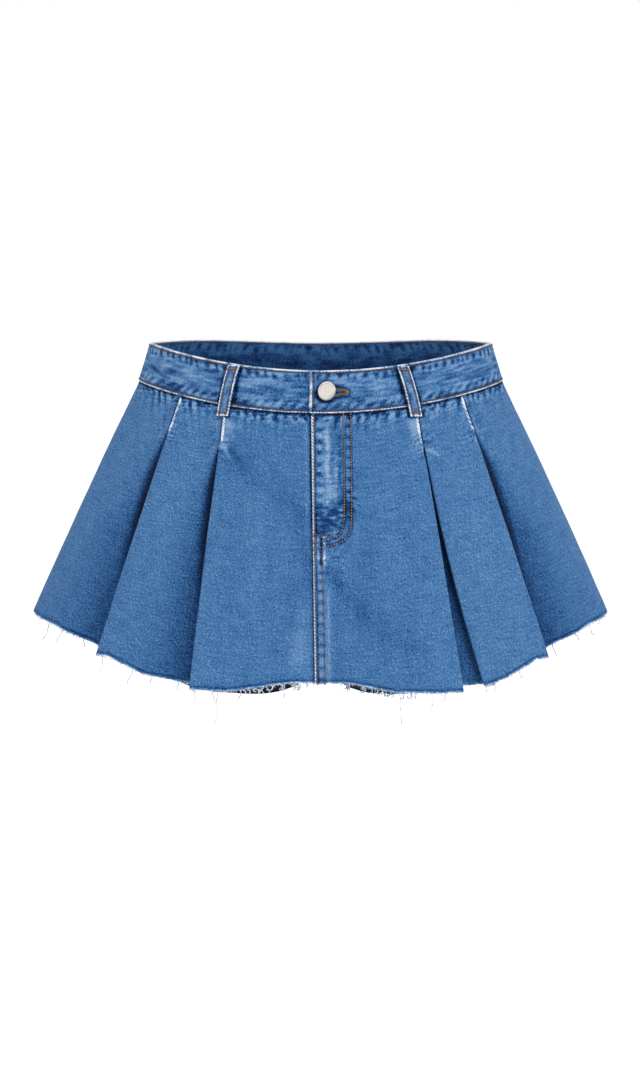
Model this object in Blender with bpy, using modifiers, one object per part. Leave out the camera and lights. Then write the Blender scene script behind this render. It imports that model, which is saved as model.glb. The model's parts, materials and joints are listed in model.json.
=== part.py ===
"""A pleated denim skort, standing open as it does on a wearer, with nobody in it.

A contour waistband closes in front with a jeans button. Two front panels and two back
panels hang from it, each with two pleats that open towards the side seams, and a pair of
loose inner shorts hangs from the same seam. The hem is raw.

The frame: metres, +Z up, +X to the wearer's left, the front faces -Y. The origin is the
centre of the waist opening, level with the top edge at the hips. Left and right in the
names are the wearer's.
"""
from collections import namedtuple
from math import asin, atan2, cos, pi, radians, sin

import bmesh
import bpy
import numpy as np
from mathutils import Matrix, Vector

# Driving dimensions, in metres.
TOP_HALF_WIDTH = 0.1582      # waist opening, at the middle of the cloth
TOP_HALF_DEPTH = 0.0980
SEAM_HALF_WIDTH = 0.1696     # seam under the waistband
SEAM_HALF_DEPTH = 0.1060
HEM_HALF_WIDTH = 0.2725      # ring that the hem's folds are measured from
HEM_HALF_DEPTH = 0.1780
SIDE_BULGE = 0.0012          # how far the panels bow out between seam and hem

TOP_FRONT_DIP = 0.0245       # the top edge dips at the centre front
BACK_RISE = 0.0025           # and rises a little either side of the centre back
SEAM_DROP = 0.0357           # the waistband's height at the hips
SEAM_FRONT_DIP = 0.0260
BACK_HEM_DROP = 0.2630       # the back hem's height, below the origin

GAP = 0.0003                 # between pieces at a seam
SEAM_SLIP = 0.00024          # each piece stops this far short of a seam that runs down
BAND_WALL = 0.0026           # two layers of denim
DENIM = 0.0013
SHORTS_WALL = 0.0010
LOOP_WALL = 0.0018

# The centre front: the wearer's left side laps over the right.
BAND_LAP = 0.0094            # the upper end, past the centre line
BAND_UNDERLAP = 0.0270       # the lower end, past the centre line the other way
BAND_LAP_OUT = 0.0015        # how far the ends part from the band's middle
PANEL_LAP_TOP = 0.0080
PANEL_LAP_HEM = 0.0045
PANEL_LAP_OUT = 0.0009
FLY_SHIELD = 0.0280          # the underlap behind the fly
FELL_ALLOWANCE = 0.0060      # and below it, in the felled centre seam
FLY_END = (0.44, 0.56)       # where the fly's curve runs, as fractions of the panel

# Pleats. At the seam the three layers lie one on another, and at the hem they stand open.
LAYER = 0.0017               # from the middle of one layer to the next
STACK_OUT = 0.0003           # the outermost layer at the seam
STITCHED = 0.11              # the top part that is sewn down, a fraction of the panel
OPENING_POWER = 0.85         # below it the pleats open at once, then more slowly
TUCK_SEAM = 0.0120           # how far the hidden fold lies behind the outer one
TUCK_HEM = 0.0040
PLEAT_DEPTH = 0.0220         # at the hem
HOLLOW_RADIUS = 0.0040
TROUGH = 0.0015              # the next panel sags a little beside the fold
BOX_MOUTH_SEAM = 0.0017      # a box pleat's two folds, apart
BOX_MOUTH_HEM = 0.0240
BOX_FOLD_OUT = 0.0060
BOX_REACH_HEM = 0.0340       # how far its underlay runs behind the second fold

# Belt loops.
LOOP_WIDTH = 0.0112
LOOP_BELOW_SEAM = 0.0095
LOOP_SLACK = 0.0024
# Degrees round the body from the centre front, at each loop's top and foot.
LOOP_ANGLES = {"front_left": (26.6, 28.6), "front_right": (-28.4, -29.6),
               "back_left": (146.0, 145.0), "back_right": (-146.0, -145.0),
               "back_centre": (180.0, 180.0)}

# The jeans button and its tack.
BUTTON_X = 0.0051
BUTTON_LEVEL = 0.52          # down the waistband, as a fraction
CAP_RADIUS = 0.0085
CAP_TILT = 28.0              # the cap leans on its shank, degrees
CAP_LIFT = 0.0050            # from the cloth to the cap's back
SHANK_RADIUS = 0.0026
SHANK_HOLE = 0.0032
TACK_RADIUS = 0.0045
TACK_POST = 0.0014
TACK_HOLE = 0.0019
BUTTONHOLE_LENGTH = 0.0180
BUTTONHOLE_WIDTH = 0.0013

# Stations along a panel, from its centre line to the side seam: x at the seam, x at the
# hem, how far the cloth stands out from the hem's ring, and the hem's height.
Station = namedtuple("Station", "kind seam_x hem_x hem_out hem_z")
FRONT_LEFT = (
    Station("flat", 0.0190, 0.0240, 0.0020, -0.2850),
    Station("flat", 0.0480, 0.0640, 0.0090, -0.2925),
    Station("box", 0.0840, 0.1145, 0.0190, -0.2920),
    Station("flat", 0.1060, 0.1610, 0.0020, -0.2870),
    Station("knife", 0.1260, 0.1990, 0.0020, -0.2745),
    Station("flat", 0.1530, 0.2470, -0.0080, -0.2575),
)
FRONT_RIGHT = (
    Station("flat", 0.0190, 0.0240, 0.0020, -0.2845),
    Station("flat", 0.0600, 0.0800, 0.0120, -0.2912),
    Station("knife", 0.0845, 0.1055, 0.0190, -0.2892),
    Station("flat", 0.1050, 0.1540, 0.0000, -0.2840),
    Station("knife", 0.1250, 0.1960, 0.0020, -0.2715),
    Station("flat", 0.1520, 0.2460, -0.0080, -0.2565),
)
BACK = (
    Station("flat", 0.0300, 0.0400, 0.0020, -BACK_HEM_DROP),
    Station("knife", 0.0840, 0.1080, 0.0150, -BACK_HEM_DROP),
    Station("flat", 0.1050, 0.1560, 0.0000, -0.2610),
    Station("knife", 0.1250, 0.1970, 0.0020, -0.2590),
    Station("flat", 0.1520, 0.2460, -0.0070, -0.2550),
)
FRONT_CENTRE_HEM = -0.2850
SIDE_HEM = {1: -0.2515, -1: -0.2505}
PANEL_ROWS = (0.0, 0.06, 0.12, 0.20, 0.30, 0.42, 0.50, 0.58, 0.78, 1.0)

# The inner shorts, row by row: drop below the seam, half width and half depth of the
# whole round the hips, front and half depth of each leg, and how far the section has
# changed from the one round the hips (0) to the one round a leg (1).
ShortsRow = namedtuple("ShortsRow", "drop half_width half_depth leg_y leg_depth leg")
SHORTS_ROWS = (
    ShortsRow(-0.0060, 0.1649, 0.1019, -0.010, 0.100, 0.0),
    ShortsRow(-0.0008, 0.1641, 0.1007, -0.010, 0.100, 0.0),
    ShortsRow(0.0300, 0.1655, 0.1030, -0.010, 0.104, 0.0),
    ShortsRow(0.0750, 0.1675, 0.1065, -0.010, 0.107, 0.0),
    ShortsRow(0.1150, 0.1670, 0.1100, -0.010, 0.109, 0.0),
    ShortsRow(0.1420, 0.1650, 0.1120, -0.010, 0.110, 0.15),
    ShortsRow(0.1630, 0.1640, 0.1140, -0.010, 0.112, 0.5),
    ShortsRow(0.1780, 0.1640, 0.1150, -0.010, 0.114, 1.0),
    ShortsRow(0.2000, 0.1640, 0.1160, -0.014, 0.120, 1.0),
    ShortsRow(0.2270, 0.1640, 0.1160, -0.018, 0.128, 1.0),
)
LEG_HALF_WIDTH = 0.0780
LEG_SQUARENESS = 2.4
LEG_SPREAD = 0.0030          # the inseam leaves the centre line by this at the hem
INSEAM_ANGLE = 72.0          # the legs take their height from the seam at this angle
LEG_HANG = 0.0385            # the front of each leg hangs this much lower than its back,
LEG_HANG_TURN = 30.0         # most of all this many degrees round towards the inseam
SHORTS_COLUMNS = 24
INSEAM_GAP = 0.0005          # a fraction of the way round, at each edge of the inseam
CROTCH_ROW = 7

DENIM_BLUE = (0.075, 0.18, 0.39, 1.0)
FADED_BLUE = (0.13, 0.24, 0.42, 1.0)
NAVY = (0.012, 0.02, 0.05, 1.0)
SILVER = (0.78, 0.74, 0.69, 1.0)


def blend(start, end, share):
    return start + (end - start) * share


def smooth(share):
    share = min(1.0, max(0.0, share))
    return share * share * (3.0 - 2.0 * share)


def waist_height(angle):
    """Height of the top edge at an angle round the body from the centre front."""
    if cos(angle) > 0:
        return -TOP_FRONT_DIP * cos(angle) ** 2
    return BACK_RISE * sin(2 * angle) ** 2


def seam_height(angle):
    """Height of the waistband's lower edge at the same angle."""
    if cos(angle) > 0:
        return -SEAM_DROP - SEAM_FRONT_DIP * cos(angle) ** 2
    return -SEAM_DROP + BACK_RISE * sin(2 * angle) ** 2


def on_ring(half_width, half_depth, angle, out=0.0, slip=0.0):
    """A point off an oval: `out` is away from the body, `slip` is along it."""
    ahead = Vector((half_width * cos(angle), half_depth * sin(angle))).normalized()
    away = Vector((ahead.y, -ahead.x))
    ring = Vector((half_width * sin(angle), -half_depth * cos(angle)))
    return ring + away * out + ahead * slip


def side_normals(points):
    """Mitred level normals of a run of plan points."""
    steps = np.diff(points, axis=0)
    steps /= np.linalg.norm(steps, axis=1)[:, None]
    normals = np.stack((steps[:, 1], -steps[:, 0]), axis=1)
    before = np.vstack((normals[:1], normals))
    after = np.vstack((normals, normals[-1:]))
    middle = before + after
    middle /= np.linalg.norm(middle, axis=1)[:, None]
    mitre = np.clip(np.sum(middle * after, axis=1), 0.6, 1.0)
    return middle / mitre[:, None]


def cloth_wall(name, rows, wall, material):
    """A closed wall of cloth round a grid of points through its middle."""
    rows = np.asarray(rows, dtype=float)
    row_count, column_count = rows.shape[:2]
    sides = []
    for direction in (0.5, -0.5):
        side = rows.copy()
        for row in side:
            row[:, :2] += side_normals(row[:, :2]) * wall * direction
        sides.append(side)
    mesh = bmesh.new()
    corners = [[[mesh.verts.new(point) for point in row] for row in side] for side in sides]
    for row in range(row_count - 1):
        for column in range(column_count - 1):
            for face in corners:
                mesh.faces.new((face[row][column], face[row][column + 1],
                                face[row + 1][column + 1], face[row + 1][column]))
    outer, inner = corners
    for row in (0, row_count - 1):
        for column in range(column_count - 1):
            mesh.faces.new((outer[row][column], outer[row][column + 1],
                            inner[row][column + 1], inner[row][column]))
    for column in (0, column_count - 1):
        for row in range(row_count - 1):
            mesh.faces.new((outer[row][column], outer[row + 1][column],
                            inner[row + 1][column], inner[row][column]))
    bmesh.ops.recalc_face_normals(mesh, faces=mesh.faces)
    return finished(name, mesh, material)


def finished(name, mesh, material):
    """The bmesh as an object of the skort."""
    data = bpy.data.meshes.new(name)
    mesh.to_mesh(data)
    mesh.free()
    data.shade_smooth()
    data.set_sharp_from_angle(angle=radians(40))
    piece = bpy.data.objects.new(name, data)
    data.materials.append(material)
    SKORT.objects.link(piece)
    return piece


# Panels. A column is one line of cloth from the seam down to the hem: where it lies,
# how far it is tucked from there, and by how much it slips along and stands out.
Column = namedtuple("Column", "seam_x hem_x seam_tuck hem_tuck seam_slip hem_slip "
                              "seam_out hem_out hem_z")


def flat_column(seam_x, hem_x, seam_out, hem_out, hem_z):
    return Column(seam_x, hem_x, 0, 0, 0, 0, seam_out, hem_out, hem_z)


def turn(fold, seam_tuck, hem_tuck, seam_arc, hem_arc, count=4):
    """Columns round a fold. Each arc is (height, radius, first and last direction)."""
    columns = []
    for step in range(count):
        share = step / (count - 1)
        slips = []
        outs = []
        for height, radius, first, last in (seam_arc, hem_arc):
            direction = radians(blend(first, last, share))
            slips.append(radius * cos(direction))
            outs.append(height + radius * sin(direction))
        columns.append(Column(fold.seam_x, fold.hem_x, seam_tuck, hem_tuck,
                              slips[0], slips[1], outs[0], outs[1], fold.hem_z))
    return columns


def between(first, last, shares, hold=0.0):
    """Columns between two others; `hold` keeps the first one's standing out for a while."""
    columns = []
    for share in shares:
        eased = smooth((share - hold) / (1.0 - hold))
        even = Column(*(blend(a, b, share) for a, b in zip(first, last)))
        columns.append(even._replace(seam_out=blend(first.seam_out, last.seam_out, eased),
                                     hem_out=blend(first.hem_out, last.hem_out, eased)))
    return columns


def knife_pleat(fold):
    """Over the fold's edge, back under it, and out again along the layer below."""
    radius = LAYER / 2
    edge = turn(fold, -radius, -radius,
                (STACK_OUT - radius, radius, 90, -90),
                (fold.hem_out - radius, radius, 90, -90))
    floor = fold.hem_out - PLEAT_DEPTH
    hidden = turn(fold, radius - TUCK_SEAM, HOLLOW_RADIUS - TUCK_HEM,
                  (STACK_OUT - 3 * radius, radius, 90, 270),
                  (floor + HOLLOW_RADIUS, HOLLOW_RADIUS, 180, 270))
    return edge + hidden


def box_pleat(fold):
    """A fold, a hidden layer behind it, and a second fold that faces the first."""
    radius = LAYER / 2
    floor = fold.hem_out - PLEAT_DEPTH
    edge = turn(fold, -radius, -radius,
                (STACK_OUT - radius, radius, 90, -90),
                (fold.hem_out - radius, radius, 90, -90))
    near = turn(fold, radius - TUCK_SEAM, HOLLOW_RADIUS - TUCK_HEM,
                (STACK_OUT - 3 * radius, radius, 90, 270),
                (floor + HOLLOW_RADIUS, HOLLOW_RADIUS, 180, 270))
    far = turn(fold, TUCK_SEAM - radius, BOX_REACH_HEM - HOLLOW_RADIUS,
               (STACK_OUT - 3 * radius, radius, -90, 90),
               (floor + HOLLOW_RADIUS, HOLLOW_RADIUS, -90, 70))
    facing = turn(fold, BOX_MOUTH_SEAM + radius, BOX_MOUTH_HEM + radius,
                  (STACK_OUT - radius, radius, 270, 90),
                  (BOX_FOLD_OUT - radius, radius, 250, 90))
    return edge + near + far + facing


def panel_columns(start, stations, side_z):
    """All the columns of a panel, from its centre edge to the side seam."""
    columns = list(start)
    for station in stations:
        previous = columns[-1]
        if station.kind == "flat":
            flat = flat_column(station.seam_x, station.hem_x, previous.seam_out,
                               station.hem_out, station.hem_z)
            columns += between(previous, flat, (0.3, 0.65), hold=0.1)
            columns.append(flat)
            continue
        pleat = box_pleat(station) if station.kind == "box" else knife_pleat(station)
        over = pleat[0]._replace(seam_tuck=-TUCK_SEAM, hem_tuck=-TUCK_SEAM)
        columns += between(previous, over, (0.5,))
        columns += [over] + pleat
        if station.kind == "knife":
            last = pleat[-1]
            columns.append(last._replace(seam_tuck=LAYER, hem_tuck=TUCK_SEAM, hem_slip=0,
                                         hem_out=last.hem_out - TROUGH))
    side = Column(SEAM_HALF_WIDTH, HEM_HALF_WIDTH, 0, 0, -SEAM_SLIP, -SEAM_SLIP, 0, 0, side_z)
    columns += between(columns[-1], side, (0.45, 0.8))
    return columns + [side]


def panel_plan(column, share):
    """Where a column of a front panel is, seen from above, `share` of the way down."""
    opening = max(0.0, (share - STITCHED) / (1.0 - STITCHED)) ** OPENING_POWER
    half_width = blend(SEAM_HALF_WIDTH, HEM_HALF_WIDTH, share)
    half_depth = blend(SEAM_HALF_DEPTH, HEM_HALF_DEPTH, share)
    across = blend(column.seam_x, column.hem_x, share)
    if across < 0:
        fly = smooth((share - FLY_END[0]) / (FLY_END[1] - FLY_END[0]))
        across += blend(column.seam_tuck, column.hem_tuck, fly)
    else:
        across += blend(column.seam_tuck, column.hem_tuck, share ** 2)
    angle = asin(max(-1.0, min(1.0, across / half_width)))
    out = blend(column.seam_out, column.hem_out, opening)
    out += SIDE_BULGE * 4 * share * (1 - share)
    slip = blend(column.seam_slip, column.hem_slip, opening)
    return on_ring(half_width, half_depth, angle, out, slip)


def panel_point(column, share, hand, facing):
    """A point of a panel, mirrored to its own side and to the front or the back."""
    top = panel_plan(column._replace(seam_out=0.0), 0.0)
    seam_angle = atan2(top.x / SEAM_HALF_WIDTH, -top.y / SEAM_HALF_DEPTH)
    plan = panel_plan(column, share)
    if facing == "back":
        plan.y = -plan.y
        seam_angle = pi - seam_angle
    height = blend(seam_height(seam_angle) - GAP, column.hem_z, share)
    return (plan.x * hand, plan.y, height)


def panel(name, columns, hand, facing):
    rows = [[panel_point(column, share, hand, facing) for column in columns]
            for share in PANEL_ROWS]
    return cloth_wall(name, rows, DENIM, DENIM_CLOTH)


def front_left_panel():
    """The upper side of the fly and of the felled seam below it."""
    start = [flat_column(x, hem_x, PANEL_LAP_OUT, PANEL_LAP_OUT, FRONT_CENTRE_HEM)
             for x, hem_x in ((-PANEL_LAP_TOP, -PANEL_LAP_HEM), (0.0100, 0.0100))]
    columns = panel_columns(start, FRONT_LEFT, SIDE_HEM[1])
    return panel("front_panel_left", columns, 1, "front")


def front_right_panel():
    """The lower side: its fly shield lies behind the other panel."""
    start = []
    for share in (1.0, 0.5):
        edge = flat_column(-0.001, -0.001, -PANEL_LAP_OUT, -PANEL_LAP_OUT, FRONT_CENTRE_HEM)
        start.append(edge._replace(seam_tuck=0.001 - FLY_SHIELD * share,
                                   hem_tuck=0.001 - FELL_ALLOWANCE * share))
    start.append(flat_column(0.0110, 0.0080, -PANEL_LAP_OUT, -PANEL_LAP_OUT,
                             FRONT_CENTRE_HEM))
    columns = panel_columns(start, FRONT_RIGHT, SIDE_HEM[-1])
    return panel("front_panel_right", columns, -1, "front")


def back_panel(name, hand):
    start = [Column(0, 0, 0, 0, SEAM_SLIP, SEAM_SLIP, 0, 0, -BACK_HEM_DROP)]
    columns = panel_columns(start, BACK, SIDE_HEM[hand])
    return panel(name, columns, hand, "back")


def band_point(angle, share, out=0.0):
    """A point of the waistband, `share` of the way from its top edge to the seam."""
    plan = on_ring(blend(TOP_HALF_WIDTH, SEAM_HALF_WIDTH, share),
                   blend(TOP_HALF_DEPTH, SEAM_HALF_DEPTH, share), angle, out)
    return Vector((plan.x, plan.y, blend(waist_height(angle), seam_height(angle), share)))


def waistband(name, hand, end_x, lap_out, lap_length):
    """Half of the waistband, from its lapped front end to the centre back."""
    angles = [asin(x / TOP_HALF_WIDTH) for x in (-end_x, -end_x / 2, 0.004, 0.016)]
    angles += [radians(degrees) for degrees in (11, 16)]
    angles += [radians(degrees) for degrees in range(21, 180, 6)]
    end_angle = pi - SEAM_SLIP / SEAM_HALF_WIDTH
    rows = []
    for share in (0.0, 1.0):
        row = []
        for angle in angles + [end_angle]:
            x = TOP_HALF_WIDTH * sin(angle)
            if cos(angle) > 0:
                out = lap_out * (1 - smooth((x - lap_length) / 0.015))
            else:
                out = 0.0
            point = band_point(angle, share, out)
            row.append((point.x * hand, point.y, point.z))
        rows.append(row)
    return cloth_wall(name, rows, BAND_WALL, FADED_CLOTH)


def rounded(value, power):
    return abs(value) ** power * (1 if value > 0 else -1)


def shorts_section(row, fraction):
    """A plan point of the shorts: `fraction` runs from the front seam to the back one."""
    hip = Vector((row.half_width * sin(pi * fraction),
                  -row.half_depth * cos(pi * fraction)))
    direction = 2 * pi * fraction
    power = 2 / LEG_SQUARENESS
    below_crotch = max(0.0, row.drop - SHORTS_ROWS[CROTCH_ROW].drop)
    spread = LEG_SPREAD * below_crotch / (SHORTS_ROWS[-1].drop - SHORTS_ROWS[CROTCH_ROW].drop)
    leg = Vector((LEG_HALF_WIDTH * (1 - rounded(cos(direction), power)) + spread,
                  row.leg_y - row.leg_depth * rounded(sin(direction), power)))
    plan = hip.lerp(leg, row.leg)
    plan.x += SEAM_SLIP + (SHORTS_WALL / 2 + GAP / 2) * row.leg
    return plan


def shorts_leg(name, hand):
    """One leg, cut in one piece: it closes on itself along the inseam."""
    rows = []
    for row in SHORTS_ROWS:
        points = []
        for step in range(SHORTS_COLUMNS):
            fraction = step / (SHORTS_COLUMNS - 1)
            fraction = blend(INSEAM_GAP, 1 - INSEAM_GAP, fraction) if row.leg == 1 else fraction
            plan = shorts_section(row, fraction)
            if row.drop < 0 and plan.y < 0:
                plan.y += BAND_LAP_OUT * (1 - smooth((plan.x - 0.030) / 0.015))
            share = max(0.0, row.drop) / SHORTS_ROWS[-1].drop
            height = blend(seam_height(pi * fraction), seam_height(radians(INSEAM_ANGLE)),
                           row.leg)
            forward = 0.5 + 0.5 * sin(2 * pi * fraction + radians(LEG_HANG_TURN))
            height -= row.drop + LEG_HANG * forward * share ** 2 * row.leg
            points.append((plan.x * hand, plan.y, height))
        rows.append(points)
    return cloth_wall(name, rows, SHORTS_WALL, SHORTS_CLOTH)


def belt_loop(name, top_degrees, foot_degrees):
    """A flat strip sewn down above and below, with a little slack for the belt."""
    top = radians(top_degrees)
    angle = radians(foot_degrees)
    rest = BAND_WALL / 2 + GAP + LOOP_WALL / 2
    slack = ((0.03, 0.0), (0.10, 0.15), (0.30, 0.85), (0.55, 1.0), (0.80, 0.7), (0.98, 0.25))
    path = [band_point(blend(top, angle, share), share, rest + LOOP_SLACK * part)
            for share, part in slack]
    below = band_point(angle, 1.0, rest + 0.0001)
    down = Vector((sin(angle) * 0.42, -cos(angle) * 0.30, -1.0)).normalized()
    path.append(below + down * LOOP_BELOW_SEAM * 0.5)
    path.append(below + down * LOOP_BELOW_SEAM)
    side = Vector((cos(angle), sin(angle) * SEAM_HALF_DEPTH / SEAM_HALF_WIDTH, 0)).normalized()
    mesh = bmesh.new()
    edges = [[mesh.verts.new(point + side * LOOP_WIDTH * half) for point in path]
             for half in (-0.5, 0.5)]
    for step in range(len(path) - 1):
        mesh.faces.new((edges[0][step], edges[0][step + 1],
                        edges[1][step + 1], edges[1][step]))
    loop = finished(name, mesh, FADED_CLOTH)
    strip = loop.modifiers.new("cloth", "SOLIDIFY")
    strip.thickness = LOOP_WALL
    strip.offset = 0
    strip.use_even_offset = True


def turned(name, profile, segments, material, frame):
    """A closed turned body. Its profile runs down: (radius, height) from axis to axis."""
    mesh = bmesh.new()
    points = [mesh.verts.new((radius, 0, height)) for radius, height in profile]
    for pair in zip(points, points[1:]):
        mesh.edges.new(pair)
    body = finished(name, mesh, material)
    body.matrix_world = frame
    lathe = body.modifiers.new("turned", "SCREW")
    lathe.axis = "Z"
    lathe.steps = segments
    lathe.render_steps = segments
    lathe.use_merge_vertices = True
    lathe.merge_threshold = 0.00001
    return body


def button_frame():
    """Where the button is sewn: on the waistband's face, its Z axis away from the body."""
    angle = asin(BUTTON_X / TOP_HALF_WIDTH)
    here = band_point(angle, BUTTON_LEVEL)
    down = (band_point(angle, 1.0) - band_point(angle, 0.0)).normalized()
    along = Vector((cos(angle), sin(angle), 0)).normalized()
    away = along.cross(-down).normalized()
    turn_to = Matrix((along, -down, away)).transposed().to_4x4()
    return Matrix.Translation(here) @ turn_to


def cutter(name, mesh, matrix):
    data = bpy.data.meshes.new(name)
    mesh.transform(matrix)
    mesh.to_mesh(data)
    mesh.free()
    tool = bpy.data.objects.new(name, data)
    tool.hide_render = True
    tool.display_type = "WIRE"
    CUTTERS.objects.link(tool)
    return tool


def cut(piece, tool, operation="DIFFERENCE"):
    change = piece.modifiers.new(tool.name, "BOOLEAN")
    change.operation = operation
    change.solver = "EXACT"
    change.object = tool


def post_cutter(name, radius, low, high, frame):
    mesh = bmesh.new()
    bmesh.ops.create_cone(mesh, cap_ends=True, segments=16, radius1=radius, radius2=radius,
                          depth=high - low)
    return cutter(name, mesh, frame @ Matrix.Translation((0, 0, (low + high) / 2)))


def jeans_button(upper_band, lower_band):
    """A tack button: the cap and shank in front, the tack's head behind the band."""
    frame = button_frame()
    face = BAND_LAP_OUT + BAND_WALL / 2
    lower_face = -BAND_LAP_OUT + BAND_WALL / 2
    cap_back = face + CAP_LIFT
    lean = Matrix.Rotation(radians(-CAP_TILT), 4, "Y")
    cap_frame = frame @ Matrix.Translation((0, 0, cap_back)) @ lean
    cap = turned("button", ((0, 0.0021), (0.0040, 0.0021), (0.0060, 0.0023),
                            (0.0079, 0.0021), (CAP_RADIUS, 0.0013), (CAP_RADIUS, 0.0007),
                            (0.0074, 0), (0, 0)), 32, SILVER_METAL, cap_frame)
    shank = post_cutter("shank", SHANK_RADIUS, lower_face + GAP, cap_back + 0.0006, frame)
    cut(cap, shank, "UNION")
    post_hole = post_cutter("shank_hole", SHANK_HOLE, lower_face + 0.0002, face + 0.002, frame)
    cut(upper_band, post_hole)
    slit = bmesh.new()
    bmesh.ops.create_cube(slit, size=1.0)
    slit.transform(Matrix.Diagonal((BUTTONHOLE_LENGTH, BUTTONHOLE_WIDTH, 0.006, 1.0)))
    slit_frame = frame @ Matrix.Translation((BUTTONHOLE_LENGTH / 2, 0, BAND_LAP_OUT + 0.0016))
    cut(upper_band, cutter("slit", slit, slit_frame))
    back = -BAND_LAP_OUT - BAND_WALL / 2
    tack_hole = post_cutter("tack_hole", TACK_HOLE, back - 0.002, lower_face + 0.0012, frame)
    cut(lower_band, tack_hole)
    head = back - GAP - 0.0002
    post_end = lower_face - 0.0001
    turned("button_tack", ((0, post_end), (TACK_POST, post_end), (TACK_POST, head),
                           (TACK_RADIUS, head), (TACK_RADIUS, head - 0.0005),
                           (0.0030, head - 0.0014), (0, head - 0.0016)),
           24, SILVER_METAL, frame)


def surface(name, colour, roughness, metallic=0.0):
    material = bpy.data.materials.new(name)
    material.use_nodes = True
    shader = material.node_tree.nodes["Principled BSDF"]
    shader.inputs["Base Color"].default_value = colour
    shader.inputs["Roughness"].default_value = roughness
    shader.inputs["Metallic"].default_value = metallic
    return material


for leftover in list(bpy.data.objects):
    bpy.data.objects.remove(leftover)
SKORT = bpy.data.collections.new("pleated_skort")
CUTTERS = bpy.data.collections.new("cutters")
for group in (SKORT, CUTTERS):
    bpy.context.scene.collection.children.link(group)

DENIM_CLOTH = surface("denim", DENIM_BLUE, 0.85)
FADED_CLOTH = surface("faded_denim", FADED_BLUE, 0.85)
SHORTS_CLOTH = surface("shorts_cloth", NAVY, 0.9)
SILVER_METAL = surface("button_metal", SILVER, 0.35, 0.6)

front_left_panel()
front_right_panel()
back_panel("back_panel_left", 1)
back_panel("back_panel_right", -1)
upper = waistband("waistband_left", 1, BAND_LAP, BAND_LAP_OUT, BAND_UNDERLAP + 0.002)
lower = waistband("waistband_right", -1, BAND_UNDERLAP, -BAND_LAP_OUT, BAND_LAP + 0.002)
for place, (top_angle, foot_angle) in LOOP_ANGLES.items():
    belt_loop("belt_loop_" + place, top_angle, foot_angle)
shorts_leg("shorts_leg_left", 1)
shorts_leg("shorts_leg_right", -1)
jeans_button(upper, lower)
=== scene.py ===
"""The looks of a pleated denim skort that stands open as worn, with nobody in it.

The skort is washed blue denim: two front and two back panels, pleated into a contour
waistband with belt loops and a jeans button, all topstitched in rust-brown thread. The hem
is raw, and dark inner shorts hang from the same seam. Metres, +Z up, +X to the wearer's
left, and the front faces -Y. Left and right in the names are the wearer's.
"""
import json
from collections import namedtuple
from math import asin, ceil, cos, hypot, pi, radians, sin
from types import SimpleNamespace

import bmesh
import bpy
import numpy as np
from mathutils import Matrix, Vector, noise
from mathutils.bvhtree import BVHTree

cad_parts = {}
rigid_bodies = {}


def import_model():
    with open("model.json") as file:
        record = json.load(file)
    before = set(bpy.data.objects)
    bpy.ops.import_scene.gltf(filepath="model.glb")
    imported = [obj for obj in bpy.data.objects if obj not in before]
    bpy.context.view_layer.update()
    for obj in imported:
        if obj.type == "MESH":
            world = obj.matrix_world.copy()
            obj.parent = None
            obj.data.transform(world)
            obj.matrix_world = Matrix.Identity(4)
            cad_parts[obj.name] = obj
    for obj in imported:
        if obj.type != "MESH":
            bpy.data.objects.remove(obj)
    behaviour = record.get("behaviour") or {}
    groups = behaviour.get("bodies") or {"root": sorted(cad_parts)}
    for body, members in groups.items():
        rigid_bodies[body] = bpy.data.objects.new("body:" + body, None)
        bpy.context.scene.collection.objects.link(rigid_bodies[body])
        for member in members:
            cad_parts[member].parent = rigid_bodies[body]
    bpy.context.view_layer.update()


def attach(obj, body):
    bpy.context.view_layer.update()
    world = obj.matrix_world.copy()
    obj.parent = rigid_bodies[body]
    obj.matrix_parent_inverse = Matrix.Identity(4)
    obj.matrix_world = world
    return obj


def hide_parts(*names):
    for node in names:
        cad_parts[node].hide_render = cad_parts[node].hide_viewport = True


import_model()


# ---------------------------------------------------------------- Skirt panels
# Four flat pieces of washed denim twill, each folded into two pleats that are sewn down at
# the waist and open below it. The left front panel laps over the right one: its edge is
# the fly above and the upper side of a felled seam below. The hem is cut and left raw.

# Half sizes of the ovals round the body: at the band's top edge, the seam and the hem.
TOP_HALF_WIDTH = 0.1582
TOP_HALF_DEPTH = 0.0980
SEAM_HALF_WIDTH = 0.1696
SEAM_HALF_DEPTH = 0.1060
HEM_HALF_WIDTH = 0.2725
HEM_HALF_DEPTH = 0.1780

SIDE_BULGE = 0.0012            # how far the panels bow out between seam and hem
SEAM_DROP = 0.0357             # the seam below the origin, at the sides
SEAM_FRONT_DIP = 0.0260        # how much lower it is at the centre front
BACK_RISE = 0.0025             # how much higher it is halfway from the side to the centre back
BACK_CENTRE_HEM = -0.2630
FRONT_CENTRE_HEM = -0.2850
SIDE_HEM = {1: -0.2515, -1: -0.2505}
GAP = 0.0003                   # between pieces that lie against each other
DENIM = 0.0013                 # one layer
CUT_EDGE_ROUND = 0.0009
PANEL_LAP_TOP = 0.0084         # the left front's edge, past the centre line: at the seam
PANEL_LAP_HEM = 0.0050         # and at the hem
PANEL_LAP_OUT = 0.0009         # how far it stands out there, and how far the right front sinks
FLY_SHIELD = 0.0280            # how far the right front runs on behind the fly
FELL_ALLOWANCE = 0.0060        # and behind the felled seam
FLY_END = (0.44, 0.56)         # where the one becomes the other, as shares of the way down
FLY_FOOT = -0.1760             # the fly is above it, the felled seam below
FACING_WIDTH = 0.0345
FELL_WIDTH = 0.0110
FELL_RUNG_PITCH = 0.0086
FELL_START = 0.0010            # where the felled seam's cloth starts to turn under
FELL_ROW_IN = 0.0022           # the edge's stitch row
FACING_STRIP_MIDDLE = 0.0322   # between the double curve's rows, in from the fly's edge
FACING_STRIP_FOOT = -0.1570
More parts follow.
